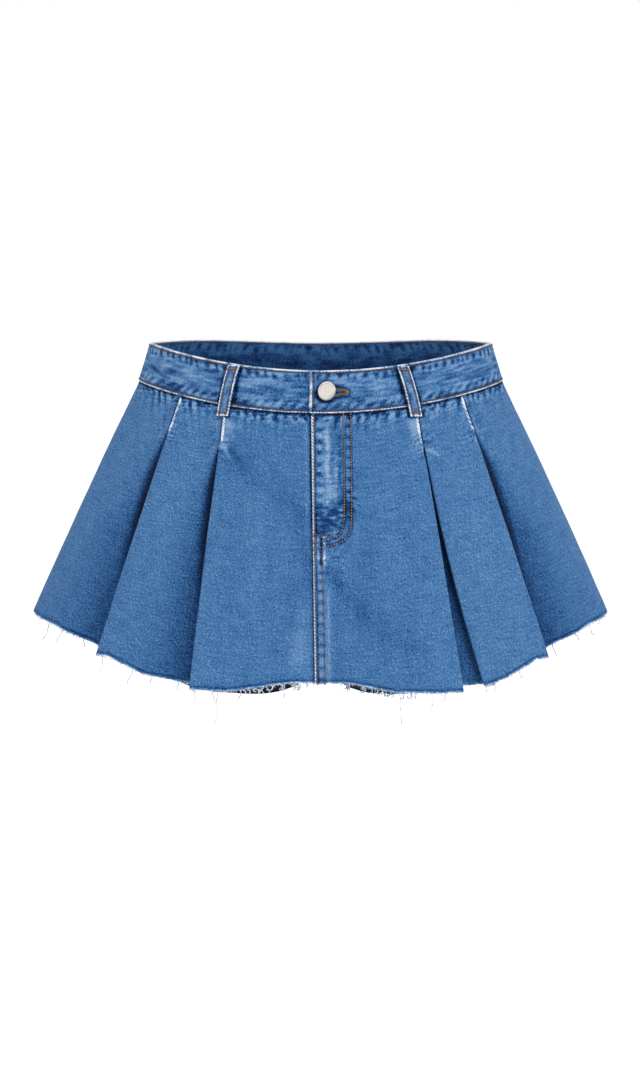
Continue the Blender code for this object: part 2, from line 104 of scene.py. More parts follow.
FELL_RIM = (0.0022, 0.0016)    # the edge's worn white rim, at the waist and at the hem
RAW_ROLL = 0.0027              # the dark line above the raw hem's roll
DRAWN_FROM = -0.0625           # where rows drawn on the front start, under the band's foot
SEAM_LAYER = 0.0009            # what the cloth turned under at a felled seam adds
LAYER = 0.0017                 # from one layer of a pleat to the next
STACK_OUT = 0.0003             # how far a fold stands out at the seam
STITCHED = 0.11                # how far down the pleats are sewn shut, as a share
OPENING_POWER = 0.85
TUCK_SEAM = 0.0120             # how far a fold's cloth runs in behind it
TUCK_HEM = 0.0040
PLEAT_DEPTH = 0.0220           # from a fold to the floor of its hollow, at the hem
HOLLOW_RADIUS = 0.0040
TROUGH = 0.0015                # how far the cloth sinks beyond a knife pleat's hollow
BOX_MOUTH_SEAM = 0.0017        # how far the box pleat's two folds part
BOX_MOUTH_HEM = 0.0240
BOX_FOLD_OUT = 0.0060          # how far its second fold stands out at the hem
BOX_REACH_HEM = 0.0340         # how far in its hidden layer runs
CORD_PITCH = 0.0030            # slanting wear marks along a thick sewn edge
COLUMN_STEP = 0.0022
FLY_COLUMN_STEP = 0.0009
FOLD_STEPS = 9                 # columns round a fold
LOOP_WIDTH = 0.0112
LOOP_BELOW_SEAM = 0.0095
# Degrees round the body from the centre front, at each belt loop's top and foot.
LOOP_ANGLES = {"front_left": (26.6, 28.6), "front_right": (-28.4, -29.6),
               "back_left": (146.0, 145.0), "back_right": (-146.0, -145.0),
               "back_centre": (180.0, 180.0)}
PANEL_SHARES = np.concatenate((np.linspace(0, 0.15, 28), np.linspace(0.15, 1, 92)[1:]))


def in_tenths(kind, lengths, *rows):
    """A table whose rows each begin with so many lengths, in tenths of a millimetre."""
    return [kind(*(length / 10000 for length in row[:lengths]), *row[lengths:])
            for row in rows]


# Along a panel, from its centre line to the side seam.
Station = namedtuple("Station", "seam_x hem_x hem_out hem_z kind")
FRONT_LEFT = in_tenths(Station, 4,
    (190, 240, 20, -2850, "flat"), (480, 640, 90, -2925, "flat"), (840, 1145, 190, -2920, "box"),
    (1060, 1610, 20, -2870, "flat"), (1260, 1990, 20, -2745, "knife"),
    (1530, 2470, -80, -2575, "flat"))
FRONT_RIGHT = in_tenths(Station, 4,
    (190, 240, 20, -2845, "flat"), (600, 800, 120, -2912, "flat"),
    (845, 1055, 190, -2892, "knife"), (1050, 1540, 0, -2840, "flat"),
    (1250, 1960, 20, -2715, "knife"), (1520, 2460, -80, -2565, "flat"))
BACK = in_tenths(Station, 4,
    (300, 400, 20, -2630, "flat"), (840, 1080, 150, -2630, "knife"),
    (1050, 1560, 0, -2610, "flat"), (1250, 1970, 20, -2590, "knife"),
    (1520, 2460, -70, -2550, "flat"))

# Creases left by wear, seen from in front or behind: where each starts and ends, its half
# width, and how far it stands out (a ridge) or sinks (a trough).
Crease = namedtuple("Crease", "x z to_x to_z width depth")
LEFT_CREASES = in_tenths(Crease, 6,
    (890, -890, 1030, -950, 26, 10), (905, -950, 1090, -1080, 34, -7),
    (830, -900, 720, -1010, 30, 8), (800, -780, 660, -820, 28, -5),
    (1370, -760, 1440, -860, 26, 8), (1380, -700, 1500, -740, 24, -5),
    (80, -1900, 95, -2820, 22, 7), (125, -2000, 150, -2800, 42, -7),
    (300, -1560, 400, -1640, 30, 6), (270, -1700, 360, -1800, 26, -5),
    (560, -1300, 640, -2100, 110, 4), (400, -1500, 380, -2500, 90, -4),
    (1350, -1500, 1500, -2150, 80, 4), (1900, -1700, 2150, -2200, 80, -4),
    (2150, -1500, 2400, -2050, 70, 3))
RIGHT_CREASES = in_tenths(Crease, 6,
    (880, -900, 980, -1010, 28, 10), (890, -860, 1030, -920, 24, -6),
    (830, -900, 700, -980, 30, 6), (1350, -740, 1430, -850, 24, 8),
    (1310, -810, 1250, -930, 28, -5), (165, -1900, 125, -2840, 36, 6),
    (100, -1850, 85, -2820, 26, -4), (110, -1300, 120, -1750, 30, 6),
    (260, -2050, 240, -2750, 60, -3), (520, -1200, 600, -2150, 120, 5),
    (720, -1500, 850, -2400, 80, -3), (1300, -1500, 1450, -2250, 80, 4),
    (1920, -1650, 2200, -2250, 90, -4), (2100, -1550, 2330, -2000, 60, 4))
BACK_CREASES = in_tenths(Crease, 6,
    (880, -700, 990, -820, 28, 9), (820, -720, 700, -790, 26, -6),
    (1350, -640, 1430, -740, 26, 7), (180, -1100, 280, -1230, 40, 6),
    (140, -1600, 170, -2500, 50, 9), (420, -1300, 480, -2300, 110, -4),
    (660, -1100, 760, -1900, 90, 4), (1330, -1400, 1500, -2200, 90, 4),
    (1950, -1500, 2200, -2200, 90, -4), (2120, -1300, 2350, -1900, 70, 3))

# Pale or dark streaks where the stitching of a fold ends, and soft broad ones down the front
# that paint the shade and light of shallow folds. Here the depth is how much paler they make
# the cloth, and below zero how much darker.
STREAKS = {
    1: in_tenths(Crease, 5,
        (884, -918, 960, -940, 13, 2.4), (960, -940, 1030, -990, 13, 1.8),
        (893, -944, 964, -1006, 13, 1.2), (905, -865, 960, -895, 30, -1.0),
        (862, -704, 890, -853, 11, 1.6), (800, -661, 807, -815, 35, 0.9),
        (971, -655, 1026, -604, 22, 1.1), (1352, -657, 1401, -807, 11, 1.4),
        (815, -720, 850, -870, 52, 1.3), (80, -1960, 360, -2280, 65, -0.45),
        (360, -2280, 780, -2600, 110, -0.35)),
    -1: in_tenths(Crease, 5,
        (840, -913, 790, -1000, 17, 2.0), (850, -700, 845, -870, 52, 1.1),
        (780, -980, 120, -1500, 120, -0.42), (100, -1500, 170, -2350, 100, -0.38),
        (205, -2680, 150, -2250, 85, 0.55), (785, -935, 720, -1010, 32, -0.9),
        (896, -905, 964, -949, 13, 1.8), (872, -715, 892, -853, 11, 1.3),
        (805, -712, 724, -745, 22, 1.1), (795, -746, 740, -848, 30, 0.7),
        (1335, -656, 1398, -798, 11, 1.2)),
}

# Places on the fly that the wash has turned paler, or left darker.
Patch = namedtuple("Patch", "x z half_width half_height fade")
FLY_PATCHES = in_tenths(Patch, 4,
    (0, -780, 30, 100, 0.5), (60, -830, 16, 150, 0.9), (10, -1050, 45, 85, 0.9),
    (50, -1130, 14, 110, 0.7), (10, -1290, 50, 80, 0.9), (140, -1120, 16, 80, 0.8),
    (110, -1290, 22, 65, 0.6), (165, -1270, 12, 60, 0.8), (100, -720, 60, 40, -0.5),
    (120, -950, 30, 120, -0.2), (0, -1410, 60, 16, -0.9), (40, -1480, 110, 15, -0.9),
    (50, -1540, 100, 14, -0.8), (30, -1505, 80, 13, 0.6), (120, -1660, 30, 60, 0.4),
    (-30, -1720, 18, 70, 0.7))


def blend(start, end, share):
    return start + (end - start) * share


def smooth(share):
    share = np.clip(share, 0.0, 1.0)
    return share * share * (3.0 - 2.0 * share)


def bell(distance, width):
    return np.exp(-(distance / width) ** 2)


def wander(along, pitch, seed):
    """A smooth uneven wave between about -1 and 1, one swing for each pitch or so."""
    return np.array([noise.noise(Vector((value / pitch, seed * 7.31, 0.5))) * 1.8
                     for value in np.ravel(along)]).reshape(np.shape(along))


def cloudy(along, down, spot, seed):
    """Smooth uneven spots between about -1 and 1, of the given length and height."""
    places = zip(np.ravel(along) / spot[0], np.ravel(down) / spot[1])
    return np.array([noise.noise(Vector((a, b, seed * 5.17))) * 1.6
                     for a, b in places]).reshape(np.shape(along))


def puckers(along, below, pitch, reach, seed):
    """Ripples that stand on a seam: highest beside it, gone a little way off."""
    lean = 0.35 * wander(along, pitch * 9, seed + 1)
    phase = (along + lean * below) / pitch + 0.55 * wander(along, pitch * 2.3, seed)
    height = 0.55 + 0.6 * wander(along, pitch * 1.6, seed + 2)
    return np.cos(2 * pi * phase) * height * np.exp(-(np.abs(below) / reach) ** 1.5)


def scallops(along, below, pitch, depth, seed):
    """A row of dark hollows beside a seam, with paler cloth between them."""
    wave = -np.cos(2 * pi * ((along + 0.3 * below) / pitch
                             + 0.45 * wander(along, pitch * 2.5, seed)))
    hollow = smooth((wave + 0.35) / 1.35)
    reach = depth * (1.0 + 0.25 * wander(along, pitch * 1.3, seed + 1))
    pale = (1.0 - hollow) * bell(below - 1.1 * reach, 0.55 * depth)
    strength = 1.0 + 0.35 * wander(along, pitch * 1.7, seed + 2)
    return (1.1 * pale - 1.7 * hollow * bell(below - reach, 0.45 * depth)) * strength


def rungs(along, pitch, seed):
    """Short dark bars one after another between two rows, and paler cloth between them."""
    place = (along / pitch + 0.30 * wander(along, pitch * 3, seed)) % 1.0
    return 0.35 - 1.6 * bell((place - 0.5) * pitch, 0.0016)


def creased(x, z, creases):
    """How far the creases lift the cloth at each point."""
    lift = np.zeros_like(x)
    for crease in creases:
        run_x, run_z = crease.to_x - crease.x, crease.to_z - crease.z
        share = ((x - crease.x) * run_x + (z - crease.z) * run_z) / (run_x ** 2 + run_z ** 2)
        share = np.clip(share, 0.0, 1.0)
        off = np.hypot(x - crease.x - run_x * share, z - crease.z - run_z * share)
        lift += crease.depth * bell(off, crease.width) * (1.0 - 0.5 * share)
    return lift


def patchy(x, z, patches):
    return sum(patch.fade * bell(x - patch.x, patch.half_width)
               * bell(z - patch.z, patch.half_height) for patch in patches)


def oval(half_width, half_depth, angle, out=0.0, slip=0.0):
    """Plan points off an oval: `out` is away from the body, `slip` is along it."""
    ahead_x, ahead_y = half_width * np.cos(angle), half_depth * np.sin(angle)
    length = np.hypot(ahead_x, ahead_y)
    ahead_x, ahead_y = ahead_x / length, ahead_y / length
    x = half_width * np.sin(angle) + ahead_y * out + ahead_x * slip
    y = -half_depth * np.cos(angle) - ahead_x * out + ahead_y * slip
    return x, y


def rounded_edge(distance, radius, least=0.04):
    """How much of its full thickness cloth has, at a distance from its rounded edge."""
    return np.sqrt(1.0 - (1.0 - np.clip(distance / radius, least, 1.0)) ** 2)


def edge_height(angle, drop, front_dip):
    """Height of an edge of the waistband, at angles round the body from the centre front."""
    front = -drop - front_dip * np.cos(angle) ** 2
    back = -drop + BACK_RISE * np.sin(2 * angle) ** 2
    return np.where(np.cos(angle) > 0, front, back)


def seam_height(angle):
    return edge_height(angle, SEAM_DROP, SEAM_FRONT_DIP)


def level_away(middle, side):
    """Level directions across each row of a grid, mitred where the row turns."""
    step = np.diff(middle[..., :2], axis=1)
    step /= np.linalg.norm(step, axis=-1, keepdims=True) + 1e-9
    normal = np.stack((step[..., 1], -step[..., 0]), axis=-1) * side
    before = np.concatenate((normal[:, :1], normal), axis=1)
    after = np.concatenate((normal, normal[:, -1:]), axis=1)
    both = before + after
    both /= np.linalg.norm(both, axis=-1, keepdims=True) + 1e-9
    both /= np.clip(np.sum(both * after, axis=-1, keepdims=True), 0.7, 1.0)
    return np.concatenate((both, np.zeros_like(both[..., :1])), axis=-1)


def travelled(middle, axis):
    """How far each point of a grid lies along the cloth, from its first row or column."""
    steps = np.linalg.norm(np.diff(middle, axis=axis), axis=-1)
    start = np.zeros_like(np.take(steps, [0], axis=axis))
    return np.concatenate((start, np.cumsum(steps, axis=axis)), axis=axis)


def quads(index):
    return np.stack((index[:-1, :-1], index[1:, :-1], index[1:, 1:], index[:-1, 1:]),
                    axis=-1).reshape(-1, 4)


# A grid of points through the middle of a piece of cloth, with the directions to its right
# side, and how far each point lies across and down the cloth.
Lay = namedtuple("Lay", "middle away across below")


def lay_of(middle, side):
    return Lay(middle, level_away(middle, side), travelled(middle, 1), travelled(middle, 0))


def cloth(name, lay, side, lift, half_wall, marks, material):
    """A closed skin round a lay, lifted off it, and its map, as seen from the right side.

    Each mark is for the right side alone, or a pair, for the right side and the wrong one.
    """
    middle = lay.middle + lay.away * np.asarray(lift)[..., None]
    rows, columns = middle.shape[:2]
    wall = lay.away * np.broadcast_to(half_wall, (rows, columns))[..., None]
    points = np.concatenate([face.reshape(-1, 3) for face in (middle + wall, middle - wall)])
    right = np.arange(rows * columns).reshape(rows, columns)
    wrong = right + rows * columns
    faces = np.concatenate((
        quads(right), quads(wrong)[:, ::-1],
        quads(np.stack((wrong[0], right[0]))), quads(np.stack((right[-1], wrong[-1]))),
        quads(np.stack((right[:, 0], wrong[:, 0]))),
        quads(np.stack((wrong[:, -1], right[:, -1])))))
    down, across = middle[1, 0] - middle[0, 0], middle[0, 1] - middle[0, 0]
    if np.cross(down, across) @ lay.away[0, 0] < 0:
        faces = faces[:, ::-1]
    mesh = bpy.data.meshes.new(name)
    mesh.from_pydata(points.tolist(), [], faces.tolist())
    corners = np.empty(len(mesh.loops), dtype=int)
    mesh.loops.foreach_get("vertex_index", corners)
    cloth_map = np.stack((lay.across * side, -lay.below), axis=-1).reshape(-1, 2)
    places = np.tile(cloth_map, (2, 1))[corners]
    mesh.uv_layers.new(name="cloth").data.foreach_set("uv", places.astype(np.float32).ravel())
    for mark, strength in marks.items():
        both = strength if isinstance(strength, tuple) else (strength, 0.0)
        values = np.concatenate([np.broadcast_to(one, (rows, columns)).ravel() for one in both])
        mesh.attributes.new(mark, "FLOAT", "POINT").data.foreach_set(
            "value", values.astype(np.float32))
    mesh.materials.append(material)
    mesh.shade_smooth()
    mesh.set_sharp_from_angle(angle=radians(60))
    return placed(name, mesh)


def placed(name, mesh):
    piece = bpy.data.objects.new(name, mesh)
    bpy.context.scene.collection.objects.link(piece)
    return piece


def modelled(name, mesh, matrix=Matrix.Identity(4)):
    """What was modelled step by step, moved by a matrix and made into mesh data."""
    data = bpy.data.meshes.new(name)
    mesh.transform(matrix)
    mesh.to_mesh(data)
    mesh.free()
    return data


def add_node(tree, kind, settings=(), inputs=()):
    """A node with its settings, and its inputs: each a value, or a socket to link from."""
    node = tree.nodes.new(kind)
    for name, value in dict(settings).items():
        setattr(node, name, value)
    for name, value in dict(inputs).items():
        if isinstance(value, bpy.types.NodeSocket):
            tree.links.new(value, node.inputs[name])
        else:
            node.inputs[name].default_value = value
    return node


def maths(tree, operation, *values):
    """One sum on numbers or sockets."""
    return add_node(tree, "ShaderNodeMath", {"operation": operation},
                    enumerate(values)).outputs[0]


def weighed(tree, start, *terms):
    """start, plus weight times (socket - middle) for each (socket, weight, middle)."""
    total = start
    for socket, weight, middle in terms:
        centred = maths(tree, "SUBTRACT", socket, middle)
        total = maths(tree, "MULTIPLY_ADD", centred, weight, total)
    return total


def shaded(name, settings):
    """A new material with its surface's settings, and its node tree and shader."""
    material = bpy.data.materials.new(name)
    material.use_nodes = True
    shader = material.node_tree.nodes["Principled BSDF"]
    for setting, value in settings.items():
        shader.inputs[setting].default_value = value
    return material, material.node_tree, shader


def coloured(tree, shader, level, low, high):
    """Colours a surface from low to high, by a level between 0 and 1."""
    tone = add_node(tree, "ShaderNodeMix", {"data_type": "RGBA"},
                    {"Factor": level, 6: (*low, 1.0), 7: (*high, 1.0)})
    tree.links.new(tone.outputs[2], shader.inputs["Base Color"])


def raised(tree, shader, height, strength, distance):
    bump = add_node(tree, "ShaderNodeBump", {}, {"Height": height, "Strength": strength,
                                                 "Distance": distance})
    tree.links.new(bump.outputs["Normal"], shader.inputs["Normal"])


def marked(tree, mark):
    """A mark that a piece of cloth carries at its points."""
    return add_node(tree, "ShaderNodeAttribute", {"attribute_name": mark}).outputs["Fac"]


def grain(tree, turn_by, stretch, detail=2.0):
    """Noise on the cloth's own map, turned, its spots `stretch` metres long and wide."""
    cloth_map = add_node(tree, "ShaderNodeUVMap", {"uv_map": "cloth"}).outputs[0]
    turned_map = add_node(tree, "ShaderNodeMapping", {"vector_type": "TEXTURE"},
                          {"Vector": cloth_map, "Rotation": (0, 0, radians(turn_by)),
                           "Scale": (*stretch, 1.0)})
    return add_node(tree, "ShaderNodeTexNoise", {"noise_dimensions": "2D"},
                    {"Vector": turned_map.outputs[0], "Scale": 1.0, "Detail": detail,
                     "Roughness": 0.55}).outputs["Fac"]


def speckle(tree, scale, detail):
    """Noise through the whole body of a piece."""
    place = add_node(tree, "ShaderNodeTexCoord").outputs["Object"]
    return add_node(tree, "ShaderNodeTexNoise", {}, {"Vector": place, "Scale": scale,
                                                     "Detail": detail}).outputs["Fac"]


INDIGO = ((0.00, (0.002, 0.006, 0.018)), (0.22, (0.003, 0.040, 0.158)),
          (0.50, (0.050, 0.164, 0.378)), (0.70, (0.124, 0.258, 0.470)),
          (0.86, (0.340, 0.455, 0.600)), (1.00, (0.770, 0.820, 0.880)))
# The wrong side's colour, made darker than the pale weft to paint the shade that it lies in.
SHADED_WEFT_SIDE = (0.075, 0.120, 0.210)


def denim(name, tone):
    """Twill, indigo over white, whose tone runs from deep indigo (0) to worn white (1)."""
    material, tree, shader = shaded(name, {"Roughness": 0.92, "Specular IOR Level": 0.12,
                                           "Sheen Weight": 0.04, "Sheen Roughness": 0.6})
    twill = grain(tree, 52, (0.0022, 0.00078))
    flecks = grain(tree, -30, (0.0012, 0.00080))
    slubs = grain(tree, 0, (0.018, 0.0020))
    ends = grain(tree, 90, (0.040, 0.0022))
    mottle = grain(tree, 0, (0.011, 0.012), 3.0)
    strokes = grain(tree, 8, (0.0160, 0.0022), 3.0)
    crumples = grain(tree, 50, (0.0062, 0.0026), 3.0)
    crumpled = weighed(tree, 0.0, (maths(tree, "ADD", strokes, crumples),
                                   marked(tree, "crumpled"), 1.0))
    cloth_map = add_node(tree, "ShaderNodeUVMap", {"uv_map": "cloth"}).outputs[0]
    slant = add_node(tree, "ShaderNodeVectorMath", {"operation": "DOT_PRODUCT"},
                     {0: cloth_map, 1: (2 * pi / CORD_PITCH, 2 * pi / CORD_PITCH, 0.0)})
    corded = maths(tree, "MULTIPLY", marked(tree, "corded"),
                   maths(tree, "SINE", slant.outputs["Value"]))
    worn = maths(tree, "MULTIPLY", marked(tree, "worn"),
                 maths(tree, "MULTIPLY_ADD", twill, 0.9, 0.55))
    glints = maths(tree, "MAXIMUM", twill, 0.60)
    washed = weighed(tree, tone, (twill, 0.78, 0.5), (flecks, 0.62, 0.5), (slubs, 0.18, 0.5),
                     (ends, 0.10, 0.5), (mottle, 0.15, 0.5), (marked(tree, "faded"), 0.22, 0.0),
                     (crumpled, 0.75, 0.0), (glints, 0.3, 0.60))
    washed = add_node(tree, "ShaderNodeClamp", {}, {"Value": washed, "Min": 0.15, "Max": 0.76})
    # Darkened where a piece marks it: deep unfaded indigo inside the pleats, and painted shade in
    # the hollows beside the folds, under the band's foot, beside the belt loops, stitch rows and
    # button, and on the band's and loops' insides.
    level = weighed(tree, washed.outputs[0], (marked(tree, "hidden"), -0.62, 0.0),
                    (worn, 0.56, 0.0), (corded, 0.30, 0.0))
    ramp = add_node(tree, "ShaderNodeValToRGB", {}, {"Fac": level})
    elements = ramp.color_ramp.elements
    while len(elements) < len(INDIGO):
        elements.new(0.5)
    for element, (place, colour) in zip(elements, INDIGO):
        element.position = place
        element.color = (*colour, 1.0)
    sides = add_node(tree, "ShaderNodeMix", {"data_type": "RGBA"},
                     {"Factor": marked(tree, "wrong_side"), 6: ramp.outputs["Color"],
                      7: (*SHADED_WEFT_SIDE, 1.0)})
    tree.links.new(sides.outputs[2], shader.inputs["Base Color"])
    height = weighed(tree, 0.0, (twill, 0.8, 0.5), (flecks, 0.6, 0.5), (slubs, 0.25, 0.5),
                     (crumpled, 0.5, 0.0))
    raised(tree, shader, height, 0.45, 0.0004)
    return material


PANEL_DENIM = denim("washed_denim", 0.482)

# A column is one line of cloth from the seam down to the hem: where it lies, how far it is
# tucked from there, how far it slips along and stands out, whether it is inside a pleat,
# and whether it is on the edge of a fold.
Column = namedtuple("Column", "seam_x hem_x seam_tuck hem_tuck seam_slip hem_slip "
                              "seam_out hem_out hem_z inside edge")


def flat_column(seam_x, hem_x, seam_out, hem_out, hem_z):
    return Column(seam_x, hem_x, 0, 0, 0, 0, seam_out, hem_out, hem_z, 0, 0)


def turn(fold, seam_tuck, hem_tuck, seam_arc, hem_arc, inside=(1.0, 1.0), edge=0.0):
    """Columns round a fold. Each arc is (height, radius, first and last direction)."""
    columns = []
    for share in np.linspace(0, 1, FOLD_STEPS):
        place = []
        for height, radius, first, last in (seam_arc, hem_arc):
            direction = radians(blend(first, last, share))
            place.append((radius * cos(direction), height + radius * sin(direction)))
        (seam_slip, seam_out), (hem_slip, hem_out) = place
        columns.append(Column(fold.seam_x, fold.hem_x, seam_tuck, hem_tuck, seam_slip, hem_slip,
                              seam_out, hem_out, fold.hem_z, blend(*inside, share),
                              edge * bell(share - 0.36, 0.30)))
    return columns


def between(first, last, hold=0.0, step=COLUMN_STEP):
    """Columns from after one up to another; `hold` keeps the first one's standing out."""
    across = max(abs(last.seam_x + last.seam_tuck - first.seam_x - first.seam_tuck),
                 abs(last.hem_x + last.hem_tuck - first.hem_x - first.hem_tuck))
    columns = []
    for share in np.linspace(0, 1, ceil(across / step) + 1)[1:]:
        eased = smooth((share - hold) / (1.0 - hold))
        even = Column(*(blend(a, b, share) for a, b in zip(first, last)))
        columns.append(even._replace(seam_out=blend(first.seam_out, last.seam_out, eased),
                                     hem_out=blend(first.hem_out, last.hem_out, eased),
                                     inside=blend(first.inside, last.inside,
                                                  min(1.0, 2.2 * share))))
    return columns


def folded_under(fold):
    """How both kinds of pleat begin: over the fold's edge, and round behind it."""
    radius = LAYER / 2
    floor = fold.hem_out - PLEAT_DEPTH
    edge = turn(fold, -radius, -radius, (STACK_OUT - radius, radius, 90, -90),
                (fold.hem_out - radius, radius, 90, -90), (0.0, 1.0), 1.0)
    hidden = turn(fold, radius - TUCK_SEAM, HOLLOW_RADIUS - TUCK_HEM,
                  (STACK_OUT - 3 * radius, radius, 90, 270),
                  (floor + HOLLOW_RADIUS, HOLLOW_RADIUS, 180, 270))
    return edge + between(edge[-1], hidden[0])[:-1] + hidden


def knife_pleat(fold):
    """Over the fold's edge, back under it, and out again along the layer below."""
    pleat = folded_under(fold)
    clear = pleat[-1]._replace(seam_tuck=LAYER, hem_tuck=TUCK_SEAM, hem_slip=0,
                               hem_out=pleat[-1].hem_out - TROUGH, inside=0.8)
    return pleat + between(pleat[-1], clear)


def box_pleat(fold):
    """A fold, a hidden layer behind it, and a second fold that faces the first."""
    pleat = folded_under(fold)
    radius = LAYER / 2
    floor = fold.hem_out - PLEAT_DEPTH
    far = turn(fold, TUCK_SEAM - radius, BOX_REACH_HEM - HOLLOW_RADIUS,
               (STACK_OUT - 3 * radius, radius, -90, 90),
               (floor + HOLLOW_RADIUS, HOLLOW_RADIUS, -90, 70))
    facing = turn(fold, BOX_MOUTH_SEAM + radius, BOX_MOUTH_HEM + radius,
                  (STACK_OUT - radius, radius, 270, 90),
                  (BOX_FOLD_OUT - radius, radius, 250, 90), (1.0, 0.0))
    facing = [column._replace(edge=0.6 * bell(place / (FOLD_STEPS - 1) - 0.6, 0.3))
              for place, column in enumerate(facing)]
    return (pleat + between(pleat[-1], far[0])[:-1] + far
            + between(far[-1], facing[0])[:-1] + facing)


def panel_columns(start, stations, side_z):
    """All the columns of a panel, from its centre edge to the side seam."""
    columns = list(start)
    for station in stations:
        previous = columns[-1]
        if station.kind == "flat":
            flat = flat_column(station.seam_x, station.hem_x, previous.seam_out,
                               station.hem_out, station.hem_z)
            columns += between(previous, flat, hold=0.1)
            continue
        pleat = box_pleat(station) if station.kind == "box" else knife_pleat(station)
        over = pleat[0]._replace(seam_tuck=-TUCK_SEAM, hem_tuck=-TUCK_SEAM)
        columns += between(previous, over) + between(over, pleat[0])[:-1] + pleat
    side = flat_column(SEAM_HALF_WIDTH, HEM_HALF_WIDTH, 0, 0, side_z)
    return columns + between(columns[-1], side)


def panel_middle(columns, hand, facing):
    """The grid of points through the middle of a panel: rows run across it."""
    column = Column(*np.array(columns).T)
    share = PANEL_SHARES[:, None]
    opening = (np.maximum(0.0, share - STITCHED) / (1.0 - STITCHED)) ** OPENING_POWER
    half_width = blend(SEAM_HALF_WIDTH, HEM_HALF_WIDTH, share)
    half_depth = blend(SEAM_HALF_DEPTH, HEM_HALF_DEPTH, share)
    across = blend(column.seam_x, column.hem_x, share)
    fly = smooth((share - FLY_END[0]) / (FLY_END[1] - FLY_END[0]))
    across += blend(column.seam_tuck, column.hem_tuck, np.where(across < 0, fly, share ** 2))
    angle = np.arcsin(np.clip(across / half_width, -1.0, 1.0))
    out = blend(column.seam_out, column.hem_out, opening) + SIDE_BULGE * 4 * share * (1 - share)
    slip = blend(column.seam_slip, column.hem_slip, opening)
    x, y = oval(half_width, half_depth, angle, out, slip)
    top_x, top_y = oval(SEAM_HALF_WIDTH, SEAM_HALF_DEPTH, angle[0], 0.0, slip[0])
    seam_angle = np.arctan2(top_x / SEAM_HALF_WIDTH, -top_y / SEAM_HALF_DEPTH)
    if facing == "back":
        y, seam_angle = -y, pi - seam_angle
    z = blend(seam_height(seam_angle) - GAP, column.hem_z, share)
    return np.stack((x * hand, y, z), axis=-1)


def fold_marks(column, x, share):
    """Painted shade in the hollow beside each fold, white along its upper edge, crumpled at its
    end.
    """
    dark, white, crumpled = np.zeros_like(x), np.zeros_like(x), np.zeros_like(x)
    edge = column.edge
    tops = [place for place in range(1, len(edge) - 1)
            if edge[place] > 0.5 and edge[place - 1] < edge[place] >= edge[place + 1]]
    number = np.arange(len(edge))
    for place, after in zip(tops, tops[1:] + [None]):
        beyond = x - x[:, place:place + 1]
        if edge[place] > 0.9:
            knife = after is None or edge[after] > 0.9
            open_from = smooth((share - 0.12) / 0.22)
            near = 0.0011 + 0.0062 * open_from - 0.0028 * smooth((share - 0.60) / 0.4)
            deep = 1.0 - 0.62 * smooth((share - 0.45) / 0.45)
            wide = 0.0030 + 0.026 * share
            outer = np.clip(beyond, 0.0, None)
            # Painted shade: beside a knife fold a near-black core that widens down the fold and a
            # lighter falloff further out; beside a box pleat only a thin line near its top.
            shade = np.maximum(deep * bell(outer, near),
                               0.46 * smooth((share - 0.20) / 0.35) * np.exp(-outer / wide))
            if not knife:
                shade = 0.95 * bell(outer, 0.0011) * (1 - smooth((share - 0.12) / 0.1))
            dark = np.maximum(dark, shade * (number > place))
            upper = 1.0 - smooth((share - 0.115) / 0.030)
            rim = smooth((0.0014 + beyond) / 0.0009) * (number <= place) * upper
            white = np.maximum(white, rim)
            fray = bell(beyond, 0.010) * bell(share - 0.135, 0.055)
            crumpled = np.maximum(crumpled, fray * (column.inside < 0.5))
    return dark, white, crumpled


def beside_loops(angle, places, half_width, half_depth):
    """How far places round the body are from the sides of each belt loop, one by one."""
    along = np.hypot(half_width * np.cos(angle), half_depth * np.sin(angle))
    for loop_angle in places:
        turned_by = (angle - loop_angle + pi) % (2 * pi) - pi
        yield np.abs(turned_by) * along - LOOP_WIDTH / 2


def loop_shadow(angle, below):
    """Painted shadow beside the foot of each belt loop, on the cloth below the band."""
    dark = 0.0
    feet = [radians(foot) for _, foot in LOOP_ANGLES.values()]
    for beside in beside_loops(angle, feet, SEAM_HALF_WIDTH, SEAM_HALF_DEPTH):
        away = np.hypot(np.maximum(beside, 0.0), np.maximum(below - LOOP_BELOW_SEAM, 0.0))
        dark = np.maximum(dark, bell(away, 0.0013))
    return dark


